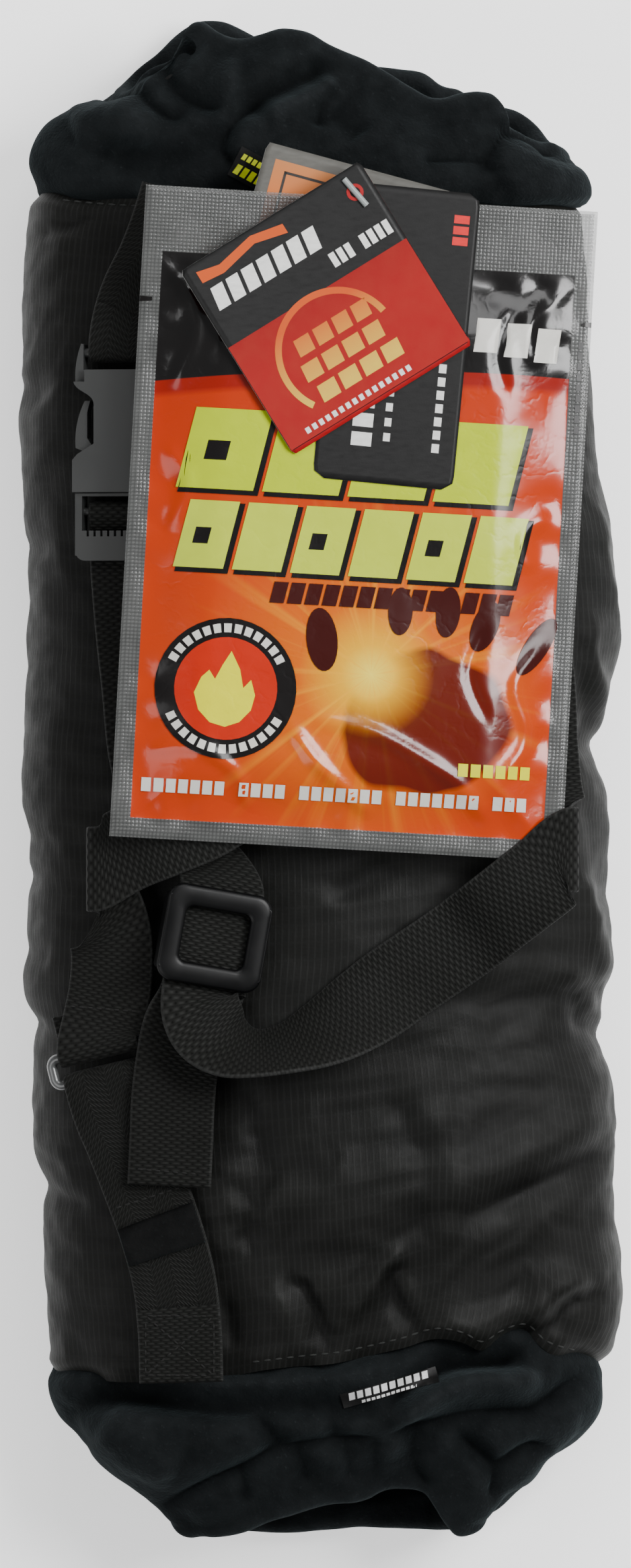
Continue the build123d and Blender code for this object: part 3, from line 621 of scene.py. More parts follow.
def shaded_card(name, first, second, start, stop):
    """Card printed with a colour that runs from one UV height to another, in millimetres."""
    look = Surface(name, first, 0.34, Specular_IOR_Level=0.15)
    u, v = look.uv()
    part = look.calc("DIVIDE", look.minus(v, start * MM), (stop - start) * MM, clamp=True)
    base = look.mix(part, first, second)
    look.colour(look.mix(look.times(look.noise(4, 3), 0.15), base, (0.4, 0.1, 0.05)))
    look.bump(look.noise(0.8, 2), 0.015, 0.6)
    return look.material


NYLON = ripstop_nylon()
FLEECE = fleece(relief=True)
LINING = fleece("fleece_inside", (0.0036, 0.0044, 0.005))
BELT = webbing("belt_webbing", 1.65)
STRAP = webbing("strap_webbing", 1.3, twill=True)
THREAD = plain_fabric("black_thread", (0.02, 0.021, 0.02), 0.75, 0.3, 0.05)
BUCKLE = plastic("buckle_plastic", (0.022, 0.023, 0.0225), 0.5, 0.35, 0.03, 0.12)
KEEPER = plastic("keeper_plastic", (0.0025, 0.0026, 0.0028), 0.36, 1.4, 0.012, 0.0, Specular_IOR_Level=0.16)
RING = plastic("ring_plastic", (0.055, 0.057, 0.057), 0.22, 1.2, 0.012, 0.0, Coat_Weight=0.3)
PIN_LOOK = plastic("pin_plastic", (0.2, 0.22, 0.215), 0.3, 0.8, 0.02, 0.2)
BATTING = plain_fabric("batting", (0.7, 0.7, 0.66), 1.0, 2.5, 0.6)
PAD = plain_fabric("pad_fabric", (0.7, 0.68, 0.63), 0.95, 0.8, 0.1)
ELASTIC = plain_fabric("elastic", (0.006, 0.006, 0.006), 0.85, 1.0, 0.25)


# ---- webbing -----------------------------------------------------------------------------
def unit(vector):
    return vector / np.linalg.norm(vector)


class Plane:
    """A place with its own X, Y and normal."""

    def __init__(self, origin, x_dir, normal):
        self.origin = np.array(origin, float)
        self.x = unit(np.array(x_dir, float))
        self.z = unit(np.array(normal, float))
        self.y = np.cross(self.z, self.x)

    def at(self, x, y, z=0.0):
        return self.origin + x * self.x + y * self.y + z * self.z


def laid(route):
    """Stations of (centre, direction across) over the shell, from (x, y, height) and perhaps a roll."""
    stations = []
    for index, (x, y, height, *roll) in enumerate(route):
        x_back, y_back = route[max(index - 1, 0)][:2]
        x_next, y_next = route[min(index + 1, len(route) - 1)][:2]
        travel = math.hypot(x_next - x_back, y_next - y_back)
        right = np.array([(y_next - y_back) / travel, (x_back - x_next) / travel, 0])
        if not roll:
            across = unit(right + np.array([0, 0, top_slope(x) * right[0]]))
        else:
            turn = math.radians(roll[0])
            across = right * math.cos(turn) + np.array([0, 0, math.sin(turn)])
        stations.append((np.array([x, y, float(top_z(x)) + height]), across))
    return stations


def wrap(plane, y, radius, start, stop, across, steps=8):
    """Stations round a bar along the plane's X; the angle is from its normal towards its -Y."""
    stations = []
    for step in range(steps + 1):
        angle = math.radians(start + (stop - start) * step / steps)
        stations.append((plane.at(0, y - radius * math.sin(angle), radius * math.cos(angle)), across))
    return stations


def reversed_across(stations):
    return [(spot, -across) for spot, across in stations]


def ribbon(
    name, stations, width=WEBBING_WIDTH, thickness=WEBBING, pitch=1.3, sag=0.25, seed=1, cut=None, rest=False
):
    """A strap with rounded edges along a line through stations. Returns it, its length, line and sides.

    With a cut, only the part before the line first passes that Y is made, or with rest, the part after it.
    """
    centres = np.array([station[0] for station in stations])
    across = np.array([station[1] for station in stations])
    run = np.concatenate([[0], np.cumsum(np.linalg.norm(np.diff(centres, axis=0), axis=1))])
    at = np.linspace(0, run[-1], int(run[-1] / pitch) + 2)
    line = hermite(run, centres, at)
    side = hermite(run, across, at)
    side /= np.linalg.norm(side, axis=1, keepdims=True)
    ahead = np.gradient(line, axis=0)
    ahead /= np.linalg.norm(ahead, axis=1, keepdims=True)
    up = np.cross(side, ahead)
    up /= np.linalg.norm(up, axis=1, keepdims=True)
    line = line + up * (sag * wobble(line, 21.0, seed))[:, None]
    if cut is not None:
        passed = int(np.argmax(line[:, 1] < cut))
        part = slice(passed, None) if rest else slice(0, passed + 1)
        line, side, up, at = line[part], side[part], up[part], at[part]
    half, deep = width / 2, thickness / 2
    reach = [half, half - 0.25, half - 0.7, half * 0.66, half * 0.33, 0]
    rise = [0, deep * 0.8, deep, deep, deep, deep]
    top = [(-r, h) for r, h in zip(reach, rise)] + [(r, h) for r, h in list(zip(reach, rise))[-2::-1]]
    profile = top + [(r, -h) for r, h in top[-2:0:-1]]
    grid = np.stack([line + side * r + up * h for r, h in profile], 1)
    length = np.concatenate([[0], np.cumsum(np.linalg.norm(np.diff(line, axis=0), axis=1))])
    u = np.array([r + half for r, h in profile] + [0.0])
    uv = np.stack([np.tile(u, (len(at), 1)), np.tile(length[:, None], (1, len(u)))], 2)
    made = make_grid(name, grid, closed=True, uv=uv, caps=True)
    return made, length[-1], line, side


buckle_tilt = math.atan(top_slope(-54.7))
BUCKLE_PLANE = Plane(
    (-54.7, 0, float(top_z(-54.7)) + 5.2),
    (math.cos(buckle_tilt), 0, math.sin(buckle_tilt)),
    (-math.sin(buckle_tilt), 0, math.cos(buckle_tilt)),
)
GLIDE_TURN, GLIDE_TILT = math.radians(-10.0), math.radians(9.0)
glide_across = np.array([
    math.cos(GLIDE_TURN) * math.cos(GLIDE_TILT),
    math.sin(GLIDE_TURN) * math.cos(GLIDE_TILT),
    -math.sin(GLIDE_TILT),
])
glide_ahead = np.array([math.sin(GLIDE_TURN), -math.cos(GLIDE_TURN), 0])
GLIDE_PLANE = Plane((-30.6, -45.0, float(top_z(-30.6)) + 9.4), glide_across,
                    np.cross(glide_across, -glide_ahead))
RING_TURN = math.radians(14.0)
ring_slope = math.atan(top_slope(-63.2)) * math.cos(RING_TURN)
ring_across = np.array([
    math.cos(RING_TURN) * math.cos(ring_slope), math.sin(RING_TURN) * math.cos(ring_slope),
    math.sin(ring_slope)
])
ring_ahead = np.array([math.sin(RING_TURN), -math.cos(RING_TURN), 0])
RING_PLANE = Plane((-63.2, -81.6, float(top_z(-63.2)) + 3.6), ring_across,
                   np.cross(ring_across, -ring_ahead))
ring_radius = RING_BAR + 0.3 + WEBBING / 2


def through_glide(level):
    reach = (15.7, 5.0, -5.0, -15.7)
    return [(GLIDE_PLANE.at(0, y, level), -GLIDE_PLANE.x) for y in reach]


def across_buckle(level, *places):
    return [(BUCKLE_PLANE.at(0, y, level), -BUCKLE_PLANE.x) for y in places]


def belt_stations():
    """The belt's one long webbing, from its free end to the end sewn round the ring."""
    tail = across_buckle(-1.95, 74.3, 65.5)
    tail += laid([(-53.6, 50, 2.6), (-51.5, 30, 2.4), (-49.0, 8, 3.0), (-43.0, -12, 4.6)])
    tail += through_glide(-2.6)
    tail += laid([
        (-38.0, -69.0, 8.0, 6), (-40.8, -79.0, 8.2), (-42.4, -91.0, 8.0),
        (-43.0, -104.0, 7.2), (-43.6, -117.8, 6.8),
    ])
    route = tail[::-1]
    route += wrap(BUCKLE_PLANE, 79.9, 1.3 + 0.3 + WEBBING / 2, -180, 0, -BUCKLE_PLANE.x)
    route += across_buckle(-0.2, 74.3, 65.5)
    route += laid([(-53.6, 50, 4.8), (-51.5, 30, 4.6), (-49.0, 8, 5.2), (-43.0, -12, 6.8)])
    route += through_glide(-0.8)
    route += laid([
        (-34.0, -66.5, 12.6, 16), (-31.0, -72.5, 13.4, 24), (-25.5, -77.0, 13.0, 44),
        (-18.5, -78.8, 12.4, 58),
        (-9.5, -77.5, 11.8, 56), (0.5, -73.5, 9.4, 40), (12.0, -66.5, 6.0, 18), (24.4, -57.8, 3.4),
        (43.8, -44.4, 5.4), (52.0, -38.0, 11.6, -6), (60.1, -31.7, 15.8, -3), (67.5, -25.8, 18.0, 0),
    ])
    down = np.array([0, -1.0, 0])
    first = np.array([73.6, -19.2, float(top_z(67.5)) + 18.0])
    for step in range(9):
        angle = math.pi * step / 8
        route.append((first + FOLD_RADIUS * np.array([math.sin(angle), 0, math.cos(angle) - 1]), down))
    route.append((first + np.array([-3.5, 1.5, -2 * FOLD_RADIUS - 0.8]), unit(np.array([-0.35, -1, 0]))))
    route += reversed_across(laid([
        (66.0, -4.0, 9.0), (64.4, 9.0, 7.0), (63.5, 28.0, 4.2), (61.0, 48.0, 2.6),
        (52.5, 68.0, 1.8), (38.0, 81.5, 1.6), (20.0, 86.0, 1.6), (3.0, 80.5, 1.6),
        (-7.5, 66.0, 1.6), (-9.5, 48.0, 1.8), (-9.5, 28.0, 2.6), (-13.0, 10.0, 5.0),
        (-21.5, -1.5, 9.4), (-33.5, -10.0, 12.4, -6), (-46.0, -15.2, 14.4, -6), (-57.5, -20.0, 13.6, -4),
    ]))
    second = np.array([-65.2, -25.0, float(top_z(-57.5)) + 12.0])
    for step in range(9):
        angle = math.pi * step / 8
        route.append((second + FOLD_RADIUS * np.array([-math.sin(angle), 0, math.cos(angle) - 1]), down))
    route.append((np.array([-62.0, -37.0, float(top_z(-62.0)) + 7.6]), unit(np.array([-0.6, -0.8, -0.1]))))
    route += laid([(-60.5, -50.0, 5.8), (-61.0, -60.0, 5.2), (-63.0, -70.0, 5.6)])
    route += wrap(RING_PLANE, 4.0, ring_radius, 0, 180, -RING_PLANE.x)
    route.append((RING_PLANE.at(0, 16.0, -ring_radius), -RING_PLANE.x))
    return route


def upper_strap_stations():
    route = laid([
        (-39.8, 173.4, 1.4), (-42.8, 163.5, 1.8), (-46.9, 153.0, 3.0),
        (-51.8, 143.0, 5.4), (-54.3, 135.0, 7.2),
    ])
    radius = 1.4 + 0.3 + WEBBING / 2
    route += wrap(BUCKLE_PLANE, 126.5, radius, 0, 180, -BUCKLE_PLANE.x)
    return route + across_buckle(-radius, 133.5)


STRAP_CUT = 138.0  # the strap rides with the buckle's socket beyond this
TAB_LINE = [(-40.1, -175.6), (-40.6, -160.0), (-42.2, -146.0), (-46.2, -131.0), (-51.2, -117.0),
            (-56.4, -104.0)]
BASE = 1.2
LEG = 4.65


def tab_stations():
    route = laid([(x, y, BASE) for x, y in TAB_LINE] + [(-60.0, -95.0, BASE), (-61.6, -90.0, BASE)])
    route += wrap(RING_PLANE, -4.0, ring_radius, 180, 360, RING_PLANE.x)
    back = [(-60.0, -95.5, LEG + 0.6), (-56.4, -104.0, LEG), (-51.2, -117.0, LEG),
            (-47.6, -126.5, LEG)]
    return route + reversed_across(laid(back))


belt, belt_length, belt_line, belt_side = ribbon("belt_webbing", belt_stations(), seed=2)
strap, strap_length, strap_line, strap_side = ribbon(
    "upper_strap_webbing", upper_strap_stations(), seed=3, cut=STRAP_CUT
)
strap_loop, loop_end_length, _, _ = ribbon("upper_strap_loop", upper_strap_stations(), seed=3, cut=STRAP_CUT,
                                           rest=True)
tab, tab_length, tab_line, tab_side = ribbon("tab_webbing_strip", tab_stations(), sag=0.12, seed=4)
loop_tape, loop_length, _, _ = ribbon(
    "loop_tape_strip",
    laid([(-44.3, -138.0, 2.45), (-51.2, -117.0, 2.45), (-56.4, -104.0, 2.45)]),
    width=24.0, thickness=0.9, sag=0.05,
)
hook_tape, hook_length, _, _ = ribbon(
    "hook_tape_strip",
    laid([(-48.0, -125.5, 3.45), (-51.2, -117.0, 3.45), (-56.4, -104.0, 3.45)]),
    width=24.0, thickness=0.8, sag=0.05,
)
sewn_patch, patch_length, _, _ = ribbon(
    "tab_sewn_patch",
    laid([(-40.1, -175.6, 2.6), (-40.6, -160.0, 2.6), (-41.2, -153.5, 2.6)]),
    thickness=1.2, sag=0.08,
)
for piece, look, slot_name, replaced in (
    (belt, BELT, "webbing", ("belt_main", "belt_tail", "belt_return")),
    (strap, STRAP, "webbing", ("upper_strap",)),
    (tab, STRAP, "webbing", ("tab_webbing",)),
    (loop_tape, fleece("loop_pile", (0.0055, 0.0055, 0.0055)), "loop_tape", ("tab_loop_tape",)),
    (hook_tape, plain_fabric("hook_side", (0.012, 0.012, 0.012), 0.7, 0.9, 0.3), "hook_tape",
     ("tab_hook_tape",)),
    (sewn_patch, webbing("patch_webbing", 1.5), "webbing", ("tab_reinforcement",)),
):
    paint(piece, look)
    place(piece, "muff", slot_name, *replaced)
paint(strap_loop, STRAP)
place(strap_loop, "socket", "webbing")
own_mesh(strap)


def press_under(points, lines, clearance=0.35):
    """Push the shell's top down where straps lie on it, so that they seem to sink in."""
    spots = []
    for line, side in lines:
        for offset in (-12.5, -8.0, -3.0, 3.0, 8.0, 12.5):
            spots += list(line[::2] + side[::2] * offset)
    spots = np.array(spots)
    tree = kdtree.KDTree(len(spots))
    for index, spot in enumerate(spots):
        tree.insert((spot[0], spot[1], 0), index)
    tree.balance()
    for index in np.flatnonzero(points[:, 2] > 40):
        x, y, z = points[index]
        limit = 1e9
        for place_found, which, apart in tree.find_range((x, y, 0), 7.0):
            limit = min(limit, spots[which][2] - WEBBING / 2 - clearance + max(0.0, apart - 3.2) * 0.45)
        if z > limit:
            points[index, 2] = limit
    return points


# ---- nylon shell -------------------------------------------------------------------------
LEFT_EDGE = [
    (-176, -78.5), (-148, -81.8), (-113, -85.2), (-104, -86.8), (-70, -86.4), (-60, -88.0), (-26, -87.6),
    (-14, -88.8), (20, -88.6), (55.8, -88.4), (85, -89.4), (114, -90.2), (146, -88.6), (164, -86.4),
    (176, -83.4),
]
RIGHT_EDGE = [
    (-176, 83.0), (-160, 89.0), (-130, 89.6), (-90, 89.2), (-76, 86.0), (-68, 85.4), (-58, 88.6),
    (-30, 88.4),
    (0, 87.2), (8, 84.8), (17, 84.8), (28, 88.0), (44, 88.8), (70, 88.0), (100, 84.0), (133, 82.0),
    (176, 78.0),
]
UPPER_SEAM = [(-84, 176.4), (-60, 173.6), (-40, 172.6), (0, 172.5), (40, 172.0), (80, 172.6)]
LOWER_SEAM = [
    (-80, -175.6), (-55, -176.3), (-27, -174.6), (-15, -172.3), (5, -170.4), (25, -166.0), (36, -163.2),
    (43, -164.6), (48.5, -167.2), (54, -164.0), (61, -162.2), (67, -167.2), (83, -171.6),
]
SHELL_FOLDS = [
    ([(22.4, -21.3), (12.9, -28.4), (3.5, -33.1)], 4.5, -2.0),
    ([(76.8, -26), (81.5, -43.7), (85.1, -58)], 3.0, 2.6),
    ([(79.0, -5), (81.5, -20), (83.5, -38)], 4.0, -2.5),
    ([(72.1, -52), (78, -63.8), (83.9, -70), (87, -74)], 2.6, 2.6, True),
    ([(74, -58), (78, -69), (84, -76)], 3.5, -2.6),
    ([(20, -89.8), (28.3, -102.9), (33, -114.7), (31.9, -126.5), (27.1, -138.3)], 4.5, -2.6),
    ([(26, -92), (36, -108), (39, -122), (36, -136)], 6.0, 1.8),
    ([(87, -106), (69.7, -114.7), (48.4, -124.1), (34.2, -128.9)], 5.0, -2.6),
    ([(86, -98), (66, -106), (46, -114)], 7.0, 1.6),
    ([(8, -157), (16.5, -145.4), (25, -135)], 2.6, 3.0),
    ([(24.8, -140), (21.2, -147), (24, -154), (32, -163)], 2.8, -3.6),
    ([(-8, -143), (-2.4, -153.7), (5.5, -168)], 3.2, -3.2),
    ([(-14, -144), (-9, -156), (-3, -169)], 3.4, 2.4),
    ([(-21.4, -141), (-20.2, -126.5), (-16.6, -108.8), (-14.5, -98)], 4.0, -2.6),
    ([(-28, -108), (-26, -124), (-27, -140)], 4.0, 1.8),
    ([(-20.2, -89), (-17.8, -104)], 3.5, -1.6),
    ([(32, -158), (44, -160), (56, -157), (70, -151), (80, -145)], 6.0, 4.6),
    ([(52, -168), (60.2, -161.8), (69.7, -157.8), (73, -153), (84, -149.5)], 2.6, -5.0, True),
    ([(66.2, -153), (76.8, -151)], 3.0, -2.0),
    ([(-27.3, -150.2), (-24.9, -166)], 2.2, -1.6),
    ([(-90, -66), (-79.3, -72.1)], 3.0, -2.4),
    ([(-90, -48), (-78, -52)], 4.0, -1.6),
    ([(-88, -113), (-78.1, -121.0), (-67, -123)], 3.0, -2.4),
    ([(-90, -10), (-81.7, -20)], 3.6, -1.8),
    ([(-90, -24), (-80, -30)], 3.0, -1.6),
    ([(80.8, 86), (83.5, 62.2), (86.1, 42.4), (88.1, 31)], 2.4, 2.6, True),
    ([(78.8, 50), (79.5, 35.8), (82.2, 28), (82.2, 20), (81.5, 12)], 2.2, 2.4, True),
    ([(76, 44), (77, 30), (79, 14)], 3.0, -2.4),
    ([(90, 15), (80, 12), (74, 14)], 3.0, -2.2),
    ([(-86, 160), (-76, 163.6), (-66, 166)], 2.0, -3.2, True),
    ([(-88, 120), (-80, 112)], 5.0, -1.8),
    ([(-88, 72), (-80, 66)], 4.0, -1.8),
]
OVER, UNDER, LENGTH = 118, 60, 128


def shell_grid(inset=0.0):
    """The shell as rows of points round the tube, from the lower seam to the upper seam."""
    rows = np.linspace(0, 1, LENGTH)
    grid = np.zeros((LENGTH, OVER + UNDER, 3))
    for row, part in enumerate(rows):
        y = -175 + 350 * part
        left, right = read(LEFT_EDGE, y), read(RIGHT_EDGE, y)
        ends = ease(min(part, 1 - part) / 0.16)
        height = 60.0 + 10.2 * ends
        half = (right - left) / 2 - inset - 2.6 * ends
        ring = section(half, height - 2 * inset, min(SIDE_RADIUS, height * 0.44) - inset, OVER, UNDER)
        x = ring[:, 0] + (right + left) / 2
        lift = 2.0 * (1 - ends) + inset
        front = ease((ring[:, 1] / height - 0.15) / 0.5)
        low = front * read(LOWER_SEAM, x) + (1 - front) * -174.5
        high = front * read(UPPER_SEAM, x) + (1 - front) * 174.5
        grid[row] = np.stack([x, low + (high - low) * part, ring[:, 1] + lift], 1)
    return grid


def settle(made, core, held, growth, frames=18, cap=7.0):
    """Let the cloth relax over its core, a little too large for it, so that it wrinkles."""
    rest = points_of(made)
    group = made.vertex_groups.new(name="held")
    for index, weight in enumerate(held):
        if weight > 0:
            group.add([index], float(weight), "REPLACE")
    core.modifiers.new("collide", "COLLISION")
    core.collision.thickness_outer = 0.0012
    core.collision.cloth_friction = 12.0
    cloth = made.modifiers.new("cloth", "CLOTH")
    settings = cloth.settings
    settings.quality = 5
    settings.mass = 0.12
    settings.tension_stiffness = 18
    settings.compression_stiffness = 18
    settings.shear_stiffness = 6
    settings.bending_stiffness = 0.12
    settings.tension_damping = 12
    settings.shear_damping = 12
    settings.air_damping = 3
    settings.vertex_group_mass = "held"
    settings.pin_stiffness = 1.2
    settings.shrink_min = -growth
    settings.use_pressure = True
    settings.uniform_pressure_force = 0.45
    settings.effector_weights.gravity = 0
    cloth.collision_settings.distance_min = 0.0008
    cloth.collision_settings.collision_quality = 2
    cloth.point_cache.frame_start = 1
    cloth.point_cache.frame_end = frames
    scene = bpy.context.scene
    for step in range(1, frames + 1):
        scene.frame_set(step)
    evaluated = made.evaluated_get(bpy.context.evaluated_depsgraph_get())
    moved = np.zeros(len(rest) * 3)
    evaluated.data.vertices.foreach_get("co", moved)
    made.modifiers.clear()
    scene.frame_set(1)
    change = moved.reshape(-1, 3) / MM - rest
    far = np.linalg.norm(change, axis=1, keepdims=True)
    set_points(made, rest + change * 0.65 * np.minimum(1, cap / np.maximum(far, 1e-6)))
    bpy.data.objects.remove(core)


def build_shell():
    grid = shell_grid()
    normal = outward(grid)
    x, y = grid[..., 0], grid[..., 1]
    front = ease((grid[..., 2] - 14) / 16)
    shape = folds(SHELL_FOLDS, x, y) * front
    ends = np.linspace(0, 1, LENGTH)[:, None]
    near_low = np.exp(-ends * 350 / 16)
    near_high = np.exp(-(1 - ends) * 350 / 14)
    gather = np.sin(x / 4.4 + 1.8 * np.sin(x / 13)) * (near_low * 1.5 + near_high * 0.9)
    shape += gather + 1.0 * wobble(grid, 46.0, 1) + 0.45 * wobble(grid * [1, 1.8, 1], 17.0, 5)
    shape -= 2.2 * (np.exp(-ends * 350 / 2.2) + np.exp(-(1 - ends) * 350 / 2.2))
    lift = (normal * shape[..., None])
    lift[..., 2] = np.where(grid[..., 2] < 8, np.maximum(lift[..., 2], 0) * 0.1, lift[..., 2])
    grid = grid + lift
    grid[..., 2] = np.maximum(grid[..., 2], 0.0)
    across = np.concatenate([[0], np.cumsum(np.linalg.norm(np.diff(grid[LENGTH // 2], axis=0), axis=1))])
    across = np.append(across, across[-1] + 2.5)
    uv = np.stack([np.tile(across, (LENGTH, 1)),
                   np.tile(np.linspace(0, 350, LENGTH)[:, None], (1, len(across)))], 2)
    made = make_grid("nylon_shell", grid, closed=True, uv=uv)
    inner = grid - outward(grid) * 1.6
    core = make_grid("shell_core", inner, closed=True)
    part = np.repeat(np.linspace(0, 1, LENGTH), OVER + UNDER)
    flat = grid.reshape(-1, 3)
    held = np.where((part < 0.012) | (part > 0.988), 1.0, 0.0)
    held = np.maximum(held, np.where(flat[:, 2] < 1.0, 0.6, 0.0))
    settle(made, core, held, 0.028)
    points = press_under(points_of(made),
                         ((belt_line, belt_side), (strap_line, strap_side), (tab_line, tab_side)))
    points[:, 2] = np.maximum(points[:, 2], 0.0)
    set_points(made, points)
    add_relief(made, points.reshape(LENGTH, -1, 3), 5.0)
    finer(made)
    paint(made, NYLON)
    place(made, "muff", "shell_nylon", "front_panel", "back_panel")
    return made


shell = build_shell()


def inner_tube(name, inset, material, slot_name, replaced, waves, short=0, flare=0.0):
    """A layer inside the shell that follows it, short by some rows, its ends flared towards the cuffs."""
    grid = shell_grid(inset)[::2, ::2]
    grid = grid[short : len(grid) - short]
    normal = outward(grid)
    to_end = 174.0 - np.abs(grid[..., 1])
    inward = 1.0 + waves * wobble(grid, 30.0, 9) - flare * ease(1 - to_end / 18.0)
    grid = grid - normal * inward[..., None]
    made = make_grid(name, grid, closed=True)
    solid = made.modifiers.new("solid", "SOLIDIFY")
    solid.thickness = 2.0 * MM
    solid.offset = -1
    bake(made)
    finer(made)
    paint(made, material)
    place(made, "muff", slot_name, *replaced)
    return made


batting = inner_tube("batting_layer", 6.0, BATTING, "batting", ("insulation_layer",), 0.2, short=3)
lining = inner_tube("lining_tube", 11.5, LINING, "fleece", ("fleece_lining",), 0.9, flare=4.6)


# ---- fleece cuffs ------------------------------------------------------------------------
class Cuff:
    """A gathered cuff: silhouettes at both sides, the front and rear rims, and its folds."""

    def __init__(self, name, side, left, right, seam, front_rim, rear_rim, height, base, creases, replaced,
                 seed):
        self.name = name
        self.side = side
        self.left = np.asarray(left, float)
        self.right = np.asarray(right, float)
        self.seam = seam
        self.front_rim = front_rim
        self.rear_rim = rear_rim
        self.height = height
        self.base = base
        self.creases = creases
        self.replaced = replaced
        self.seed = seed

    def outside(self, rows, over, under):
        left = through(self.left, rows)
        right = through(self.right, rows)
        grid = np.zeros((rows, over + under, 3))
        first = through(self.left, 2)[0], through(self.right, 2)[0]
        last = left[-1], right[-1]

        def chord(ends, share):
            return ends[0][1] + (ends[1][1] - ends[0][1]) * share

        for row in range(rows):
            part = row / (rows - 1)
            half = (right[row, 0] - left[row, 0]) / 2
            middle = (right[row, 0] + left[row, 0]) / 2
            height = float(read(self.height, part))
            base = float(read(self.base, part))
            radius = min(height * 0.46, half * 0.9)
            ring = section(half, height, radius, over, under)
            x = ring[:, 0] + middle
            share = (ring[:, 0] / half + 1) / 2
            front = ease((ring[:, 1] / height - 0.28) / 0.44)
            at_rim = last[0][0] + (last[1][0] - last[0][0]) * share
            at_seam = first[0][0] + (first[1][0] - first[0][0]) * share
            rim = front * read(self.front_rim, at_rim) + (1 - front) * read(self.rear_rim, at_rim)
            seam = front * read(self.seam, at_seam) + (1 - front) * self.side * 172.0
            line = left[row, 1] + (right[row, 1] - left[row, 1]) * share
            y = line + (1 - part) * (seam - chord(first, share)) + part * (rim - chord(last, share))
            grid[row] = np.stack([x, y, ring[:, 1] + base], 1)
        return grid

    def build(self, rows=64, over=150, under=80):
        grid = self.outside(rows, over, under)
        normal = outward(grid) * self.side
        part = np.linspace(0, 1, rows)[:, None]
        front = ease((grid[..., 2] - 26) / 14)
        shape = 1.35 * folds(self.creases, grid[..., 0], grid[..., 1]) * front
        run = np.cumsum(np.linalg.norm(np.diff(grid, axis=1, append=grid[:, :1]), axis=2), 1)
        phase = run / 5.6 + 2.2 * wobble(grid * [0.3, 0.1, 0.3], 9.0, self.seed)
        near_rim = ease((part - 0.45) / 0.4)
        shape += np.sin(phase) * (0.25 + 1.15 * near_rim) * (0.5 + 0.5 * wobble(grid, 24.0, self.seed + 1))
        shape += 2.4 * wobble(grid, 27.0, self.seed + 2) * ease(part / 0.25) + 0.5 * wobble(
            grid, 9.0, self.seed + 3
        )
        shape += 2.2 * np.sin(np.pi * np.clip(part / 0.8, 0, 1))
        shape -= 1.3 * (1 - ease(part / 0.07))
        deepest = -4.5
        shape = np.where(shape < 0, deepest * np.tanh(shape / deepest), shape)
        outer = grid + normal * shape[..., None]
        outer[..., 2] = np.maximum(outer[..., 2], 0.4)
        wall = 6.4
        turn = np.linspace(0, math.pi, 9)[1:]
        last = outer[-1]
        inward = -normal[-1].copy()
        inward[:, 1] = 0
        inward /= np.linalg.norm(inward, axis=1, keepdims=True)
        roll = [
            last + inward * wall / 2 * (1 - math.cos(a)) + np.array([0, self.side * wall / 2 * math.sin(a),
                                                                     0])
            for a in turn
        ]
        inner = outer[::-1][1:] - normal[::-1][1:] * wall
        deep = rows // 2
        waves = np.sin(phase[::-1][1 : deep + 1])[..., None]
        inner[:deep] += normal[::-1][1 : deep + 1] * 0.6 * waves
        whole = np.concatenate([outer, np.array(roll), inner])
        made = make_grid(self.name, whole, closed=True, flip=self.side < 0)
        add_relief(made, whole, 5.5)
        finer(made)
        paint(made, FLEECE)
        place(made, "muff", "fleece", self.replaced)
        band_rows = slice(int(rows * 0.84), int(rows * 0.97))
        middle = outer[band_rows] - normal[band_rows] * wall * 0.5
        elastic = make_grid(f"{self.name}_elastic_band", middle, closed=True, flip=self.side < 0)
        solid = elastic.modifiers.new("solid", "SOLIDIFY")
        solid.thickness = 1.0 * MM
        solid.offset = 0
        bake(elastic)
        paint(elastic, ELASTIC)
        place(elastic, "muff", "elastic", f"{self.replaced}_elastic")
        return made


TOP_CREASES = [
    ([(-42.5, 218), (-45.5, 212.9), (-42.6, 205.2), (-34.4, 200.4), (-27.9, 198.6)], 2.6, -5.0, True),
    ([(-66, 203.8), (-58, 204.8), (-54.5, 204.8), (-49.7, 199.8), (-42.6, 196.3), (-38.9, 199.5)], 2.6, -4.2,
     True),
    ([(-22.2, 198.5), (-13.1, 203.4), (-7.2, 205.8), (-0.5, 209.8), (1.2, 214)], 4.2, -5.0),
    ([(-18.2, 200.3), (-26.3, 192.6), (-27.9, 185.7), (-23.9, 180)], 2.6, -4.2, True),
    ([(-16, 196), (-6, 201), (6, 207)], 5.0, 2.6),
    ([(5.2, 204.4), (1.1, 198.7), (-0.5, 192.5)], 3.0, -2.6, True),
    ([(4.7, 199.7), (13.5, 190.6)], 4.5, -2.4),
    ([(29.7, 183), (39, 183.3), (46, 183.3), (51.2, 182.7)], 2.6, -3.0, True),
    ([(57.7, 194.8), (52, 186.8), (50.2, 182.7), (51.8, 177.6)], 2.6, -4.0, True),
    ([(56.3, 193.6), (63.8, 189.2), (69.5, 184.7)], 2.2, -3.4, True),
    ([(-69.5, 187.8), (-54.5, 183.9), (-39.1, 185.7), (-32, 190.4), (-29.7, 196.1)], 6.0, -4.0),
    ([(-72, 192), (-58, 195.5), (-46, 193)], 7.0, 2.6),
    ([(-38, 213), (-30, 208), (-22, 207)], 7.0, 2.4),
]
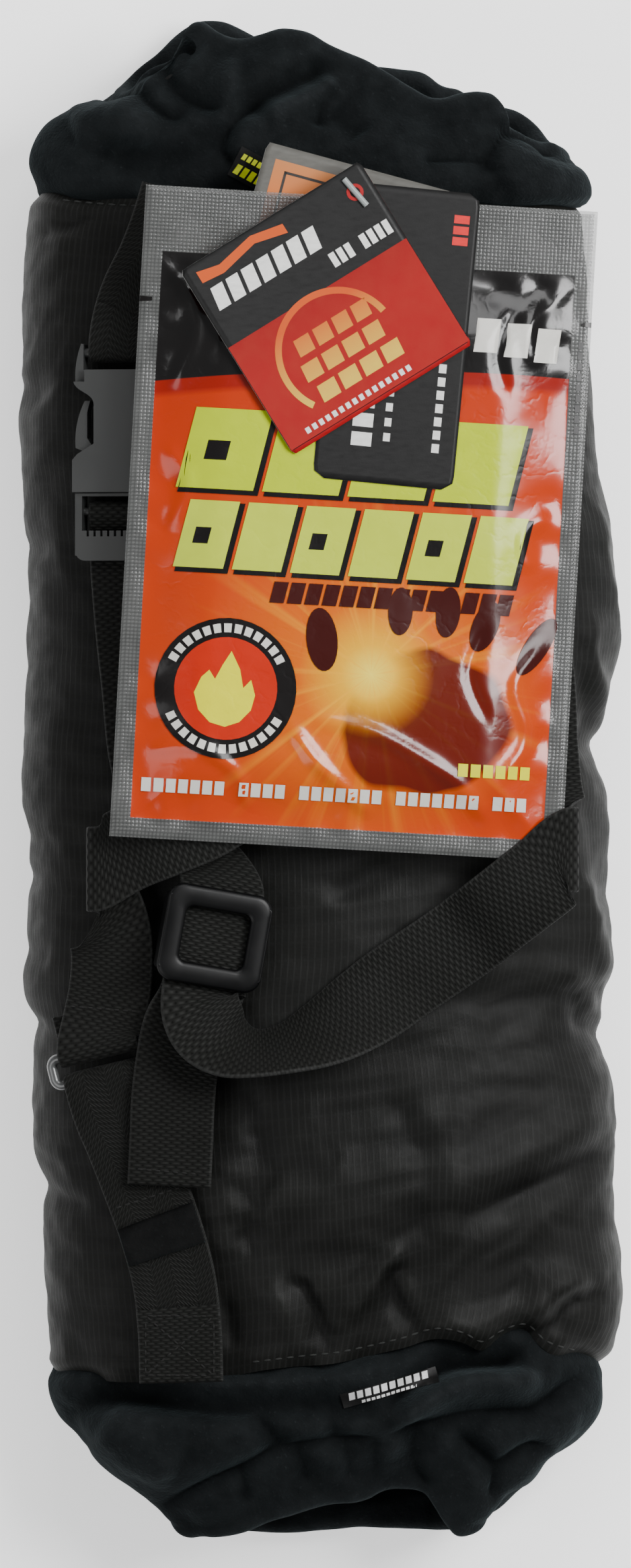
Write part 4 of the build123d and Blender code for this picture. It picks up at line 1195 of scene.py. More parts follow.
BOTTOM_CREASES = [
    ([(-74.2, -186.9), (-62.7, -180.4), (-46.2, -181), (-27.3, -182.6), (1.1, -182.4), (20, -184.5)], 4.0,
     -6.0),
    ([(-60, -177.2), (-26, -177.6), (5, -176.0), (27, -171)], 3.2, 1.6),
    ([(-46.4, -213.3), (-34.4, -206), (-22.5, -201.3), (-11.9, -196.3), (-3.6, -194.8), (7, -193.6),
      (18.5, -192.6)],
     2.2, -4.4, True),
    ([(-18.8, -185.1), (-10.9, -196.4)], 2.6, -4.0, True),
    ([(4.7, -182.5), (4.7, -194.4)], 2.2, -2.2, True),
    ([(21.6, -191), (31.9, -189.5), (40.1, -187.1), (54.3, -185.3), (63.8, -184.1), (72.1, -178.8),
      (77.6, -174.3)],
     2.8, -6.0, True),
    ([(20, -185), (29, -176), (37.8, -170.4), (50, -169.2), (62, -170)], 3.6, -6.0),
    ([(20.8, -187.6), (30.7, -180.8), (42.5, -176.6), (57.9, -175.4), (67, -175)], 4.4, 4.6),
    ([(40.3, -190.8), (47.2, -197.7), (53.1, -201.3), (56.5, -198.9), (61.2, -196.5), (69, -195.4)], 2.6,
     -4.8, True),
    ([(29.5, -191), (28.3, -201.3), (32.9, -209.2)], 2.2, -3.4, True),
    ([(42.7, -194.4), (52, -202.5), (50.8, -211.6)], 2.2, -3.0, True),
    ([(-22.9, -200.5), (-21.2, -211.6)], 1.7, -1.8, True),
    ([(-6.2, -195.6), (-3.4, -206.8)], 1.7, -1.8, True),
    ([(8.2, -193.4), (9.4, -205.7)], 1.7, -1.6, True),
    ([(16.5, -193), (17.1, -206)], 1.7, -1.6, True),
    ([(-64, -188), (-50, -196), (-40, -200)], 9.0, 2.6),
]
top_cuff = Cuff(
    "cuff_top_fleece", 1,
    left=[(-82.6, 171), (-82.0, 178), (-80.2, 186.8), (-75.8, 193.9), (-69.8, 199.6), (-62, 204.5)],
    right=[(79.0, 170), (78.2, 175), (77.2, 179), (75.8, 182.5), (74.4, 185.2)],
    seam=[(-84, 174), (-60, 171), (-40, 170), (0, 170), (40, 169.5), (80, 170)],
    front_rim=[
        (-62, 204.5), (-55, 206.5), (-48, 212), (-41.5, 220.4), (-37.9, 222.0), (-33.2, 221.4), (-29, 218.4),
        (-23.7, 216.4), (-17.8, 217.4), (-10.7, 218.8), (-3.6, 217.6), (4.7, 214.2), (15.3, 210.1),
        (22.4, 206.0),
        (29.5, 201.8), (34.8, 199.2), (42.5, 200.2), (48.4, 200.8), (54.3, 198.6), (57.3, 194.2),
        (63.8, 189.2),
        (74.4, 184.6),
    ],
    rear_rim=[
        (-62, 204.5), (-54.5, 211.6), (-48.6, 216.0), (-42.6, 219.8), (-36.7, 223.6), (-32, 224.2),
        (-27.3, 223.4),
        (-22.5, 220.8), (-10.7, 214), (4.7, 211), (15.3, 210.2), (23.6, 209.2), (34.2, 207.2), (37.8, 204.6),
        (42.5, 203.8), (48, 200.5), (54.3, 198.2), (60.2, 196.6), (66.2, 191.9), (72.1, 186.5),
        (74.4, 184.6),
    ],
    height=[(0, 56), (0.3, 66), (0.65, 62), (1, 50)],
    base=[(0, 3), (0.4, 1.0), (0.7, 3), (1, 9)],
    creases=TOP_CREASES, replaced="top_cuff", seed=11,
)
bottom_cuff = Cuff(
    "cuff_bottom_fleece", -1,
    left=[(-79.6, -171), (-78.4, -178), (-74.8, -184.2), (-67.5, -191.2), (-58, -202.5), (-50.4, -211.8),
          (-45.5, -216)],
    right=[(84.0, -168), (83.0, -176), (81.3, -183), (76.6, -191.8), (68.5, -198.9), (59.1, -207.4),
           (50, -213.5)],
    seam=[
        (-80, -173), (-55, -173.4), (-27, -171.8), (-15, -169.6), (5, -167.8), (25, -163.2), (36, -160.4),
        (48, -162.4), (61, -159.6), (67, -163.8), (83, -168.6),
    ],
    front_rim=[
        (-45.5, -216), (-42.6, -219.2), (-34.4, -219.8), (-22.5, -217.4), (-13.1, -213.6), (-3.6, -211.0),
        (7, -209.8),
        (16.5, -208.6), (24.8, -206.2), (31.9, -208.2), (36.6, -214.4), (40.1, -217.6), (47.2, -216.4),
        (50, -213.5),
    ],
    rear_rim=[(-45.5, -216), (-38, -217.6), (-22.5, -219.0), (0, -219.2), (16, -218.6), (38, -218.0),
              (47, -216.0),
              (50, -213.5)],
    height=[(0, 54), (0.3, 61), (0.65, 55), (1, 42)],
    base=[(0, 3), (0.4, 1.5), (0.7, 4), (1, 10)],
    creases=BOTTOM_CREASES, replaced="bottom_cuff", seed=23,
)
top_piece = top_cuff.build()
bottom_piece = bottom_cuff.build()


# ---- heat pack ---------------------------------------------------------------------------
def stack_plane(x, y, turn, level):
    """A plane over (x, y) on the tilted stack, turned about its normal."""
    x_dir = np.array([math.cos(STACK_TILT), 0, -math.sin(STACK_TILT)])
    normal = np.array([math.sin(STACK_TILT), 0, math.cos(STACK_TILT)])
    base = Plane((0, 0, STACK_Z), x_dir, normal)
    origin = base.at(x / math.cos(STACK_TILT), y, level)
    angle = math.radians(turn)
    return Plane(origin, base.x * math.cos(angle) + base.y * math.sin(angle), normal)


PACKET_PLANE = stack_plane(*PACKET_PLACE, 0.0)


def on_plane(plane, u, v, w):
    return plane.origin + u[..., None] * plane.x + v[..., None] * plane.y + w[..., None] * plane.z


def packet_height(u, v):
    """Height of the packet's front film over its own plane, at places from its middle."""
    u, v = np.asarray(u, float), np.asarray(v, float)
    to_side = PACKET[0] / 2 - SEAL - np.abs(u)
    to_low = v + PACKET[1] / 2 - SEAL
    to_high = PACKET[1] / 2 - 22 - v
    near = np.minimum(np.minimum(to_side, to_low), to_high)
    dome = 5.6 * ease(near / 22.0 + 0.02) ** 0.8
    flat = np.stack([u, v, np.zeros_like(u)], -1)
    shape = 0.5 * wobble(flat, 30.0, 31)
    creases = folds(PACKET_FOLDS, u, v)
    rim = ease(near / 9.0 + 0.1)
    ripple = 0.32 * np.sin(v / 3.1 + 2 * np.sin(v / 9)) * np.exp(-((near - 3) / 5.0) ** 2)
    near_end = np.exp(-((np.minimum(to_low, to_high) - 3) / 5.0) ** 2)
    ripple += 0.32 * np.sin(u / 2.9 + 2 * np.sin(u / 8)) * near_end
    edge = to_edge(u, v)
    stacked = 1.0 + dome + (shape + creases) * rim + ripple * ease((near + 4) / 4)
    return stacked * ease(edge / 3 + 0.55) + packet_bend(u, v)


def to_edge(u, v):
    return np.minimum(PACKET[0] / 2 - np.abs(u), PACKET[1] / 2 - np.abs(v))


def packet_bend(u, v):
    """The slow waves of the packet's welded border."""
    near_edge = ease(1 - to_edge(u, v) / 12)
    return (0.35 * np.sin(v / 17.0 + 0.6) + 0.3 * np.sin(u / 19.0)) * near_edge


PACKET_FOLDS = [
    ([(-54, 70), (-50, 52), (-56, 36)], 2.4, 1.2),
    ([(-44, 72), (-40, 56), (-44, 44)], 2.0, -0.9),
    ([(52, 74), (48, 60), (50, 48)], 2.4, 1.0),
    ([(44, 66), (39, 52), (42, 40)], 2.0, -0.9),
    ([(-16, -60), (-8, -70), (4, -80), (10, -86)], 2.2, 1.2),
    ([(-10, -58), (6, -60), (20, -66), (38, -78), (44, -86)], 2.4, 1.1),
    ([(60, -30), (50, -44), (54, -60), (46, -74)], 2.2, 1.1),
    ([(40, -28), (36, -42), (42, -56)], 1.8, -0.8),
    ([(-58, -70), (-44, -68), (-30, -76), (-26, -86)], 2.0, 0.9),
    ([(58, 6), (50, 0), (52, -12)], 2.4, 0.9),
    ([(-58, 20), (-50, 10), (-54, -6)], 2.6, 0.8),
]


def build_packet():
    count_u, count_v = 156, 226
    u = np.linspace(-PACKET[0] / 2, PACKET[0] / 2, count_u)
    v = np.linspace(-PACKET[1] / 2, PACKET[1] / 2, count_v)
    u, v = np.meshgrid(u, v)
    uv = np.stack([u + PACKET[0] / 2, v + PACKET[1] / 2], 2)
    front = make_grid("packet_front_sheet", on_plane(PACKET_PLANE, u, v, packet_height(u, v)), uv=uv)
    paint(front, packet_front())
    place(front, "heat_pack", "packet_print", "packet_front_film")
    back_bulge = 0.25 + packet_bend(u, v) - 0.3 * ease((to_edge(u, v) - 6) / 20)
    back = make_grid("packet_back_sheet", on_plane(PACKET_PLANE, u, v, back_bulge)[::2, ::2],
                     uv=uv[::2, ::2], flip=True)
    paint(back, clear_film("packet_back", 0.5, (0.10, 0.103, 0.103)))
    place(back, "heat_pack", "packet_film", "packet_back_film")

    # the pad inside: a soft pillow
    turn = np.linspace(0, 2 * math.pi, 72, endpoint=False)
    rings = []
    for rise, reach in ((0.0, 0.93), (0.25, 0.99), (0.5, 1.0), (0.75, 0.99), (1.0, 0.93), (1.08, 0.5)):
        corner = (np.abs(np.cos(turn)) ** 6 + np.abs(np.sin(turn)) ** 6) ** (-1 / 6)
        pu = 47 * reach * corner * np.cos(turn)
        pv = 63 * reach * corner * np.sin(turn) - 6
        rings.append(on_plane(PACKET_PLANE, pu, pv, np.full_like(pu, 0.9 + 3.4 * rise)))
    pad = make_grid("heat_pad_pillow", np.array(rings), closed=True, caps=True)
    paint(pad, PAD)
    place(pad, "heat_pack", "pad_fabric", "heat_pad")
    return front


packet = build_packet()


def decal(name, outline, material, body, slot_name, surface, lift, step=0.9):
    """A flat print that follows a surface: a filled outline, cut small enough to bend with it."""
    outline = np.asarray(outline, float)
    low, high = outline.min(0), outline.max(0)
    columns = max(2, int((high[0] - low[0]) / step) + 1)
    lines = np.union1d(np.linspace(low[0], high[0], columns), outline[:, 0])
    lines = lines[np.append(True, np.diff(lines) > 0.02)]
    tops, bottoms = [], []
    closed = np.vstack([outline, outline[:1]])
    for x in lines:
        x = min(max(x, low[0] + 1e-4), high[0] - 1e-4)
        hits = []
        for (x0, y0), (x1, y1) in zip(closed[:-1], closed[1:]):
            if x0 != x1 and (x0 - x) * (x1 - x) <= 0:
                hits.append(y0 + (y1 - y0) * (x - x0) / (x1 - x0))
        bottoms.append(min(hits))
        tops.append(max(hits))
    rows = max(2, int((high[1] - low[1]) / step) + 1)
    part = np.linspace(0, 1, rows)[:, None]
    v = np.array(bottoms) + (np.array(tops) - np.array(bottoms)) * part
    u = np.tile(lines, (rows, 1))
    made = make_grid(name, surface(u, v, lift), uv=np.stack([u, v], 2))
    paint(made, material)
    return place(made, body, slot_name)


PRINT_LIFT = 0.22


def on_packet(u, v, lift):
    return on_plane(PACKET_PLANE, u, v, packet_height(u, v) + PRINT_LIFT + lift)


def slanted(left, bottom, right, top, slant=0.2):
    """A leaning block."""
    lean = (top - bottom) * slant
    return [(left, bottom), (right, bottom), (right + lean, top), (right + lean, top), (left + lean, top)]


def disc(u, v, radius, count=40):
    turn = np.linspace(0, 2 * math.pi, count, endpoint=False)
    return np.stack([u + radius * np.cos(turn), v + radius * np.sin(turn)], 1)


def ring_print(name, u, v, inner, outer, start, stop, material, body, slot_name, surface, lift):
    """Part of a ring, from one angle in degrees to another."""
    count = max(6, int((stop - start) / 4))
    turn = np.radians(np.linspace(start, stop, count))
    reach = np.linspace(inner, outer, 4)[:, None]
    gu, gv = u + reach * np.cos(turn), v + reach * np.sin(turn)
    made = make_grid(name, surface(gu, gv, lift), uv=np.stack([gu, gv], 2), flip=True)
    paint(made, material)
    return place(made, body, slot_name)


def join(name, made):
    """One object from several or from one, keeping the first one's settings."""
    if len(made) == 1:
        made[0].name = name
        return made[0]
    bpy.ops.object.select_all(action="DESELECT")
    for one in made:
        one.select_set(True)
    bpy.context.view_layer.objects.active = made[0]
    bpy.ops.object.join()
    made[0].name = name
    return made[0]


def printer(body, slot_name, surface):
    """A function that joins flat marks, each (outline, ink, lift, step), into one piece of that name."""
    def put(name, marks):
        return join(name, [
            decal("mark", outline, ink, body, slot_name, surface, lift, *step) for outline, ink, lift,
            *step in marks
        ])

    return put


def marks_in_row(count, start, pitch, bottom, width, height, slant=0.0, skip=()):
    """Outlines of leaning blocks in a row, leaving out those whose number is in skip."""
    return [
        slanted(start + index * pitch, bottom, start + index * pitch + width, bottom + height, slant)
        for index in range(count) if index not in skip
    ]


def marks_up(count, left, right, start, pitch, height):
    """Outlines of upright blocks one above the other."""
    return [
        slanted(left, start + index * pitch, right, start + index * pitch + height,
                0.0) for index in range(count)
    ]


def word_blocks(bottom, top, left, right, count):
    """Outlines of a row of tall blocks with drop shadows, every second one with a hole."""
    pitch = (right - left) / count
    blocks, shadows = [], []
    for index in range(count):
        start = left + pitch * index
        drop = slanted(start - 0.5, bottom - 0.4, start + pitch - 2.2, top + 0.5)
        blocks.append(slanted(start, bottom, start + pitch - 2.6, top))
        shadows.append(([(u + 1.0, v - 1.0) for u, v in drop], 0.05))
        if index % 2 == 0:
            hole = slanted(start + pitch * 0.30, bottom + (top - bottom) * 0.36, start + pitch * 0.56,
                           bottom + (top - bottom) * 0.60)
            shadows.append((hole, 0.15))
    return blocks, shadows


def print_on_packet():
    """Generic graphics in place of the real packet's wording."""
    lime = printed("lime_ink", (0.38, 0.47, 0.005))
    pale_lime = printed("pale_lime_ink", (0.42, 0.50, 0.035))
    black = printed("black_ink", (0.006, 0.005, 0.005))
    white = printed("white_ink", (0.55, 0.54, 0.50))
    yellow = printed("yellow_ink", (0.62, 0.60, 0.008))
    ember = printed("ember_ink", (0.42, 0.016, 0.003))
    ash = printed("ash_ink", (0.035, 0.004, 0.003))
    border_grey = printed("border_ink", (0.09, 0.09, 0.09))
    put = printer("heat_pack", "packet_print", on_packet)
    for place_of_row, ink, word in (
        ((7.6, 31.2, -53.0, 47.0, 4), lime, "upper"), ((-15.6, 4.2, -52.5, 49.5, 6), pale_lime, "lower"),
    ):
        blocks, shadows = word_blocks(*place_of_row)
        put(f"packet_print_{word}_shadow", [(outline, black, lift) for outline, lift in shadows])
        put(f"packet_print_{word}_blocks", [(outline, ink, 0.10) for outline in blocks])
    dashes = marks_in_row(14, -24.0, 5.1, -24.6, 4.2, 6.2, 0.2, skip=(10,))
    put("packet_print_dark_dashes", [(outline, ash, 0.08) for outline in dashes])
    small = marks_in_row(32, -58.0, 3.55, -81.6, 2.8, 4.0, skip=(7, 12, 20, 28))
    large = [slanted(31.5 + index * 9.0, 52.0 - index, 38.5 + index * 9.0, 62.0 - index,
                     0.1) for index in range(3)]
    put("packet_print_white_marks", [(outline, white, 0.08, 1.5) for outline in small]
        + [(outline, white, 0.08) for outline in large])
    counts = marks_in_row(6, 34.0, 3.7, -72.2, 2.9, 3.8)
    put("packet_print_yellow_marks", [(outline, yellow, 0.08, 1.5) for outline in counts])
    notches = ([(-66.3, 61.2), (-62.8, 61.6), (-62.8, 62.6), (-66.3, 62.8)],
               [(63.2, 61.6), (66.3, 61.2), (66.3, 62.8), (63.2, 62.4)])
    put("packet_border_marks", [(outline, black, 0.1, 1.0) for outline in notches]
        + [(outline, border_grey, 0.08, 0.9) for outline in marks_up(9, 62.8, 64.2, 30.0, 3.1, 2.1)])
    centre = (-35.2, -50.4)
    put("packet_badge_disc", [(disc(*centre, 20.6), black, 0.08, 1.2)])
    put("packet_badge_middle", [(disc(*centre, 15.0), ember, 0.13, 1.2)])
    join("packet_badge_marks", [
        ring_print("mark", *centre, 16.4, 19.0, start, start + 7, white, "heat_pack", "packet_print",
                   on_packet, 0.13)
        for start in list(range(28, 150, 10)) + list(range(206, 334, 10))
    ])
    ovals = []
    for u, v, half_u, half_v, lean in (
        (-8.0, -34.5, 4.6, 9.2, 0.12), (14.5, -25.0, 3.6, 7.0, 0.0), (28.5, -24.5, 3.6, 7.4, -0.05),
        (39.6, -28.0, 4.0, 7.4, -0.25), (55.4, -33.0, 4.0, 8.6, -0.5),
    ):
        ovals.append([(u + half_u * a - lean * half_v * b, v + half_v * b) for a, b in disc(0, 0, 1, 26)])
    put("packet_print_smudges", [(oval, ash, 0.06, 1.2) for oval in ovals])
    flame = [
        (-44.5, -52), (-43, -57), (-39.5, -60.5), (-35, -61.6), (-30.8, -60), (-27.6, -56.4), (-26.6, -52),
        (-28, -47.5), (-30.2, -50), (-31.4, -44.6), (-34.2, -39.4), (-36.6, -43.6), (-38.6, -47.8),
        (-40.4, -45.2),
        (-42.6, -47.4),
    ]
    put("packet_badge_flame", [(flame, yellow, 0.18, 1.0)])


print_on_packet()


# ---- hang tags ---------------------------------------------------------------------------
def tag(name, place_at, width, length, level, curl, look, body, slot_name, replaced, edge_look, corner=0.8,
        bow=0.0):
    """A card with a little curl and a pale cut edge. Returns its surface function too."""
    plane = stack_plane(*place_at, level)

    def surface(u, v, lift):
        bend = curl * ((v / length) ** 2 - 0.25) * 2 + bow * ((u / width) ** 2 - 0.25) * 2
        return on_plane(plane, np.asarray(u, float), np.asarray(v, float),
                        np.asarray(bend + lift, float) + 0 * u)

    count_u, count_v = 36, 44
    s, t = np.meshgrid(np.linspace(-1, 1, count_u), np.linspace(-1, 1, count_v))
    half_u, half_v = width / 2, length / 2
    v = t * half_v
    over = np.clip(np.abs(v) - (half_v - corner), 0, corner)
    u = s * (half_u - corner + np.sqrt(np.maximum(corner**2 - over**2, 0)))
    uv = np.stack([u, v], 2)
    face = make_grid(name, surface(u, v, 0.5), uv=uv)
    solid = face.modifiers.new("solid", "SOLIDIFY")
    solid.thickness = 0.42 * MM
    solid.offset = -1
    solid.material_offset_rim = 1
    paint(face, look, edge_look)
    bake(face)
    place(face, body, slot_name, replaced)
    return face, surface


WHITE_EDGE = card("card_edge", (0.62, 0.62, 0.6))
RED = (0.27, 0.0035, 0.006)


def box(left, bottom, right, top):
    return [(left, bottom), (right, bottom), (right, top), (left, top)]


def build_info_card():
    _, face = tag(
        "info_card_board", (0.6, 137.1, -15.0), 56.0, 90.0, -0.9, 0.25,
        card("info_card_look", (0.09, 0.088, 0.08)), "info_card", "orange_card", "info_card", WHITE_EDGE,
    )
    put = printer("info_card", "orange_card", face)
    glow = shaded_card("info_orange", (0.55, 0.12, 0.02), (0.42, 0.17, 0.06), 20, 42)
    put("info_card_field", [(box(-24.4, -40, 24.4, 40.8), glow, 0.56, 3.0)])
    frame_ink = card("info_line", (0.03, 0.028, 0.026))
    outlines = (box(-21, 37.2, 21, 38), box(-21, -38, -20.2, 38), box(20.2, -38, 21, 38),
                box(-12, 26, -8.5, 33),
                box(-6, 27, -2.5, 34))
    put("info_card_lines", [(outline, frame_ink, 0.6, 3.0) for outline in outlines])


def build_insulation_tag():
    _, face = tag(
        "insulation_tag_card", (22.3, 130.9, -5.5), 41.2, 87.0, 7.2, -0.3,
        card("black_card_look", (0.009, 0.009, 0.009)), "insulation_tag", "black_card", "insulation_tag",
        WHITE_EDGE, 3.4,
    )
    put = printer("insulation_tag", "black_card", face)
    pale = card("pale_ink", (0.6, 0.6, 0.58))
    red_ink = card("red_ink", (0.55, 0.02, 0.02))
    marks = marks_up(5, -10.5, -4.5, -33, 5.6, 4) + marks_up(6, -1.2, 0.8, -31, 4.4, 2.4)
    marks += marks_up(7, 13.2, 15.4, -33, 3.9, 2.6)
    put("insulation_tag_marks", [(outline, pale, 0.56, 1.5) for outline in marks])
    bars = marks_up(3, 13.5, 18.0, 28, 3.2, 2.4)
    put("insulation_tag_red_marks", [(outline, red_ink, 0.56, 1.5) for outline in bars])


def build_front_tag():
    """The folded tag: a back leaf and a printed front leaf with a punched hole."""
    middle, turn = (1.3, 139.4), 31.8
    tag(
        "front_tag_back_leaf", (2.0, 138.4, turn), 61.6, 61.6, 8.1, 0.5, card("red_leaf", RED), "front_tag",
        "tag_card_red", "front_tag_leaf", WHITE_EDGE,
    )
    _, face = tag(
        "front_tag_front_leaf", (*middle, turn), 61.6, 61.6, 8.75, 0.45,
        card("grey_cover", (0.010, 0.010, 0.010)), "front_tag", "tag_card", "front_tag_cover", WHITE_EDGE,
        bow=0.5,
    )
    put = printer("front_tag", "tag_card", face)

    def ring(name, *rest):
        return ring_print(name, *rest[:6], rest[6], "front_tag", "tag_card", face, rest[7])

    red = shaded_card("red_panel", RED, (0.20, 0.003, 0.005), -8, 14)
    put("front_tag_red_panel", [(box(-30.6, -30.6, 30.6, 4.5), red, 0.56, 2.5)])
    gold = shaded_card("gold_ink", (0.60, 0.40, 0.05), (0.50, 0.07, 0.01), -22, 0)
    ring("front_tag_arc", -3.5, -13.0, 16.6, 18.6, 10, 214, gold, 0.62)
    stripes = []
    for row, (left, right) in enumerate(((-14, 12), (-16, 12), (-15, 14))):
        pitch = (right - left) / 4
        stripes += marks_in_row(4, left, pitch, -9.0 - row * 7.4, pitch - 1.4, 5.2, 0.1)
    put("front_tag_stripes", [(outline, gold, 0.62, 2.0) for outline in stripes])
    white_ink = card("white_ink_card", (0.66, 0.66, 0.64))
    large = marks_in_row(7, -27.0, 5.2, 15.0, 4.0, 7.0, 0.15)
    small = marks_in_row(8, 8.5, 2.6, 8.0, 1.9, 4.4, skip=(3,))
    tiny = marks_in_row(16, -24, 2.3, -29.0, 1.4, 1.8)
    put("front_tag_white_marks", [(outline, white_ink, 0.58, 2.0) for outline in large]
        + [(outline, white_ink, 0.58, 1.5) for outline in small] + [(outline, white_ink, 0.6,
                                                                     1.5) for outline in tiny])
    swoosh = [(-27, 24.5), (-20, 23.8), (-8, 26.4), (2, 24.0), (2, 27.0), (-8, 29.0), (-20, 26.6),
              (-27, 28.2)]
    put("front_tag_swoosh", [(swoosh, gold, 0.58, 1.5)])
    across, along = np.array(PIN) - np.array(middle)
    angle = math.radians(-turn)
    hole = (across * math.cos(angle) - along * math.sin(angle),
            across * math.sin(angle) + along * math.cos(angle))
    ring("front_tag_hole_rim", *hole, 1.5, 2.5, 0, 360, card("hole_red", (0.3, 0.01, 0.012)), 0.60)
    # a dark ring round the pin in the punched hole: painted shade
    ring("front_tag_hole", *hole, 0.8, 1.6, 0, 360, card("hole_painted_shade", (0.004, 0.004, 0.004)), 0.57)


build_info_card()
build_insulation_tag()
build_front_tag()


# ---- hard parts: the keeper, the ring, the buckle and the pin ----------------------------
def frame_ring(name, plane, half_u, half_v, open_u, open_v, outer_corner, inner_corner, low, high):
    """A moulded frame with a crowned, rounded section between two rounded rectangles."""
    def rounded(hu, hv, corner, count=20):
        spots = []
        for cu, cv, start in ((hu - corner, hv - corner, 0), (-hu + corner, hv - corner, 90),
                              (-hu + corner, -hv + corner, 180), (hu - corner, -hv + corner, 270)):
            turn = np.radians(np.linspace(start, start + 90, count))
            spots.append(np.stack([cu + corner * np.cos(turn), cv + corner * np.sin(turn)], 1))
        return np.concatenate(spots)

    outer = rounded(half_u, half_v, outer_corner)
    inner = rounded(open_u, open_v, inner_corner)
    middle, half = (low + high) / 2, (high - low) / 2
    rings = []
    for turn in np.linspace(0, 2 * math.pi, 20, endpoint=False):
        across = np.sign(math.cos(turn)) * abs(math.cos(turn)) ** 0.55
        rise = np.sign(math.sin(turn)) * abs(math.sin(turn)) ** 0.7
        share = (1 - across) / 2
        spot = outer + (inner - outer) * share
        rings.append(on_plane(plane, spot[:, 0], spot[:, 1], np.full(len(spot), middle + half * rise)))
    grid = np.transpose(np.array(rings + rings[:1])[:, :, :], (1, 0, 2))
    grid = np.concatenate([grid, grid[:1]])
    return make_grid(name, grid, flip=True)


def build_keeper():
    """The slide: a frame with two cheeks that reach down and a bar between them, under the strap."""
    pieces = [frame_ring("keeper", GLIDE_PLANE, 15.6, 14.4, 9.6, 8.2, 4.8, 2.4, 0.25, 3.3)]
    for side, reach in (("left", -14.2), ("right", 14.2)):
        cheek = Plane(GLIDE_PLANE.at(reach, 0), GLIDE_PLANE.x, GLIDE_PLANE.z)
        pieces.append(frame_ring(f"keeper_{side}", cheek, 1.5, 11.4, 0.4, 10.0, 1.3, 0.35, -4.9, 3.1))
    pieces.append(frame_ring("keeper_bar", GLIDE_PLANE, 15.6, 2.6, 12.0, 0.4, 1.6, 0.35, -5.1, -3.6))
    keeper = join("tri_glide_frame", pieces)
    paint(keeper, KEEPER)
    place(keeper, "muff", "glide_plastic", "tri_glide")


build_keeper()
for node_name in ("buckle_socket", "buckle_plug", "plug_arm_left", "plug_arm_right"):
    paint(nodes[node_name], BUCKLE)
paint(nodes["belt_ring"], RING)
paint(nodes["tag_pin"], PIN_LOOK)


# ---- inner pocket and labels -------------------------------------------------------------
def patch_on(name, middle_x, y_low, y_high, width, inset, thickness, look, slot_name, replaced):
    """A cloth patch against the underside of the lining's top."""
    x = np.linspace(middle_x - width / 2, middle_x + width / 2, 40)
    y = np.linspace(y_low, y_high, 40)
    x, y = np.meshgrid(x, y)
    z = top_z(x * 0.9) - inset
    side = np.minimum((width / 2 - np.abs(x - middle_x)) / 6, (y - y_low) / 6)
    z = z + 3.5 * (1 - ease(side)) + 0.5 * wobble(np.stack([x, y, 0 * x], 2), 25.0, 41)
    made = make_grid(name, np.stack([x, y, z], 2), flip=True)
    solid = made.modifiers.new("solid", "SOLIDIFY")
    solid.thickness = thickness * MM
    solid.offset = -1
    bake(made)
    paint(made, look)
    return place(made, "muff", slot_name, replaced)


pocket = patch_on("pocket_patch", 0, -61, 59, 92, 18.0, 1.5, LINING, "fleece", "inner_pocket")


def height_finder(made):
    """A function that gives the height of a piece's uppermost surface over a place."""
    tree = BVHTree.FromObject(made, bpy.context.evaluated_depsgraph_get())

    def height(x, y):
        hit = tree.ray_cast(Vector((x * MM, y * MM, 0.3)), Vector((0, 0, -1)))[0]
        return hit.z / MM if hit else 60.0

    return np.vectorize(height)


def label(name, middle, half_width, half_height, turn, surface, ink, replaced, slot_name, rows, bulge=0.0):
    """A woven label lying on a cuff, with plain woven bars in place of its words."""
    angle = math.radians(turn)
    height = height_finder(surface)
    ground = card(f"{name}_ground", (0.006, 0.006, 0.006))

    def lying(u, v, lift):
        u, v = np.asarray(u, float), np.asarray(v, float)
        x = middle[0] + u * math.cos(angle) - v * math.sin(angle)
        y = middle[1] + u * math.sin(angle) + v * math.cos(angle)
        z = height(x, y)
        return np.stack([x, y, z + 0.5 + lift], -1)

    across = np.linspace(-half_width, half_width, 24)
    top = half_height + bulge * (1 - (across / half_width) ** 2)
    outline = [(u, -half_height) for u in across] + [(u, t) for u, t in zip(across[::-1], top[::-1])]
    made = decal(name, outline, ground, "muff", slot_name, lying, 0.0, 1.2)
    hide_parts(replaced)
    marks = []
    for v, tall, count, reach in rows:
        pitch = 2 * reach / count
        for index in range(count):
            left = -reach + pitch * index
            block = slanted(left, v, left + pitch * 0.72, v + tall, 0.15)
            marks.append(decal("mark", block, ink, "muff", slot_name, lying, 0.12, 0.8))
    join(f"{name}_marks", marks)
    return made


label("maker_label_woven", (-19.6, 180.5), 5.6, 4.6, -28, top_piece,
      card("yellow_thread", (0.55, 0.62, 0.02)),
      "maker_label", "woven_label", ((-3.4, 3.0, 4, 4.6), (1.2, 1.8, 5, 4.2)))
label("insulation_label_woven", (21.0, -177.6), 14.6, 2.2, 16, bottom_piece,
      card("white_thread", (0.6, 0.6, 0.6)),
      "insulation_label", "woven_label_white", ((-0.4, 2.2, 10, 12.4), (-2.0, 0.8, 12, 9.0)))


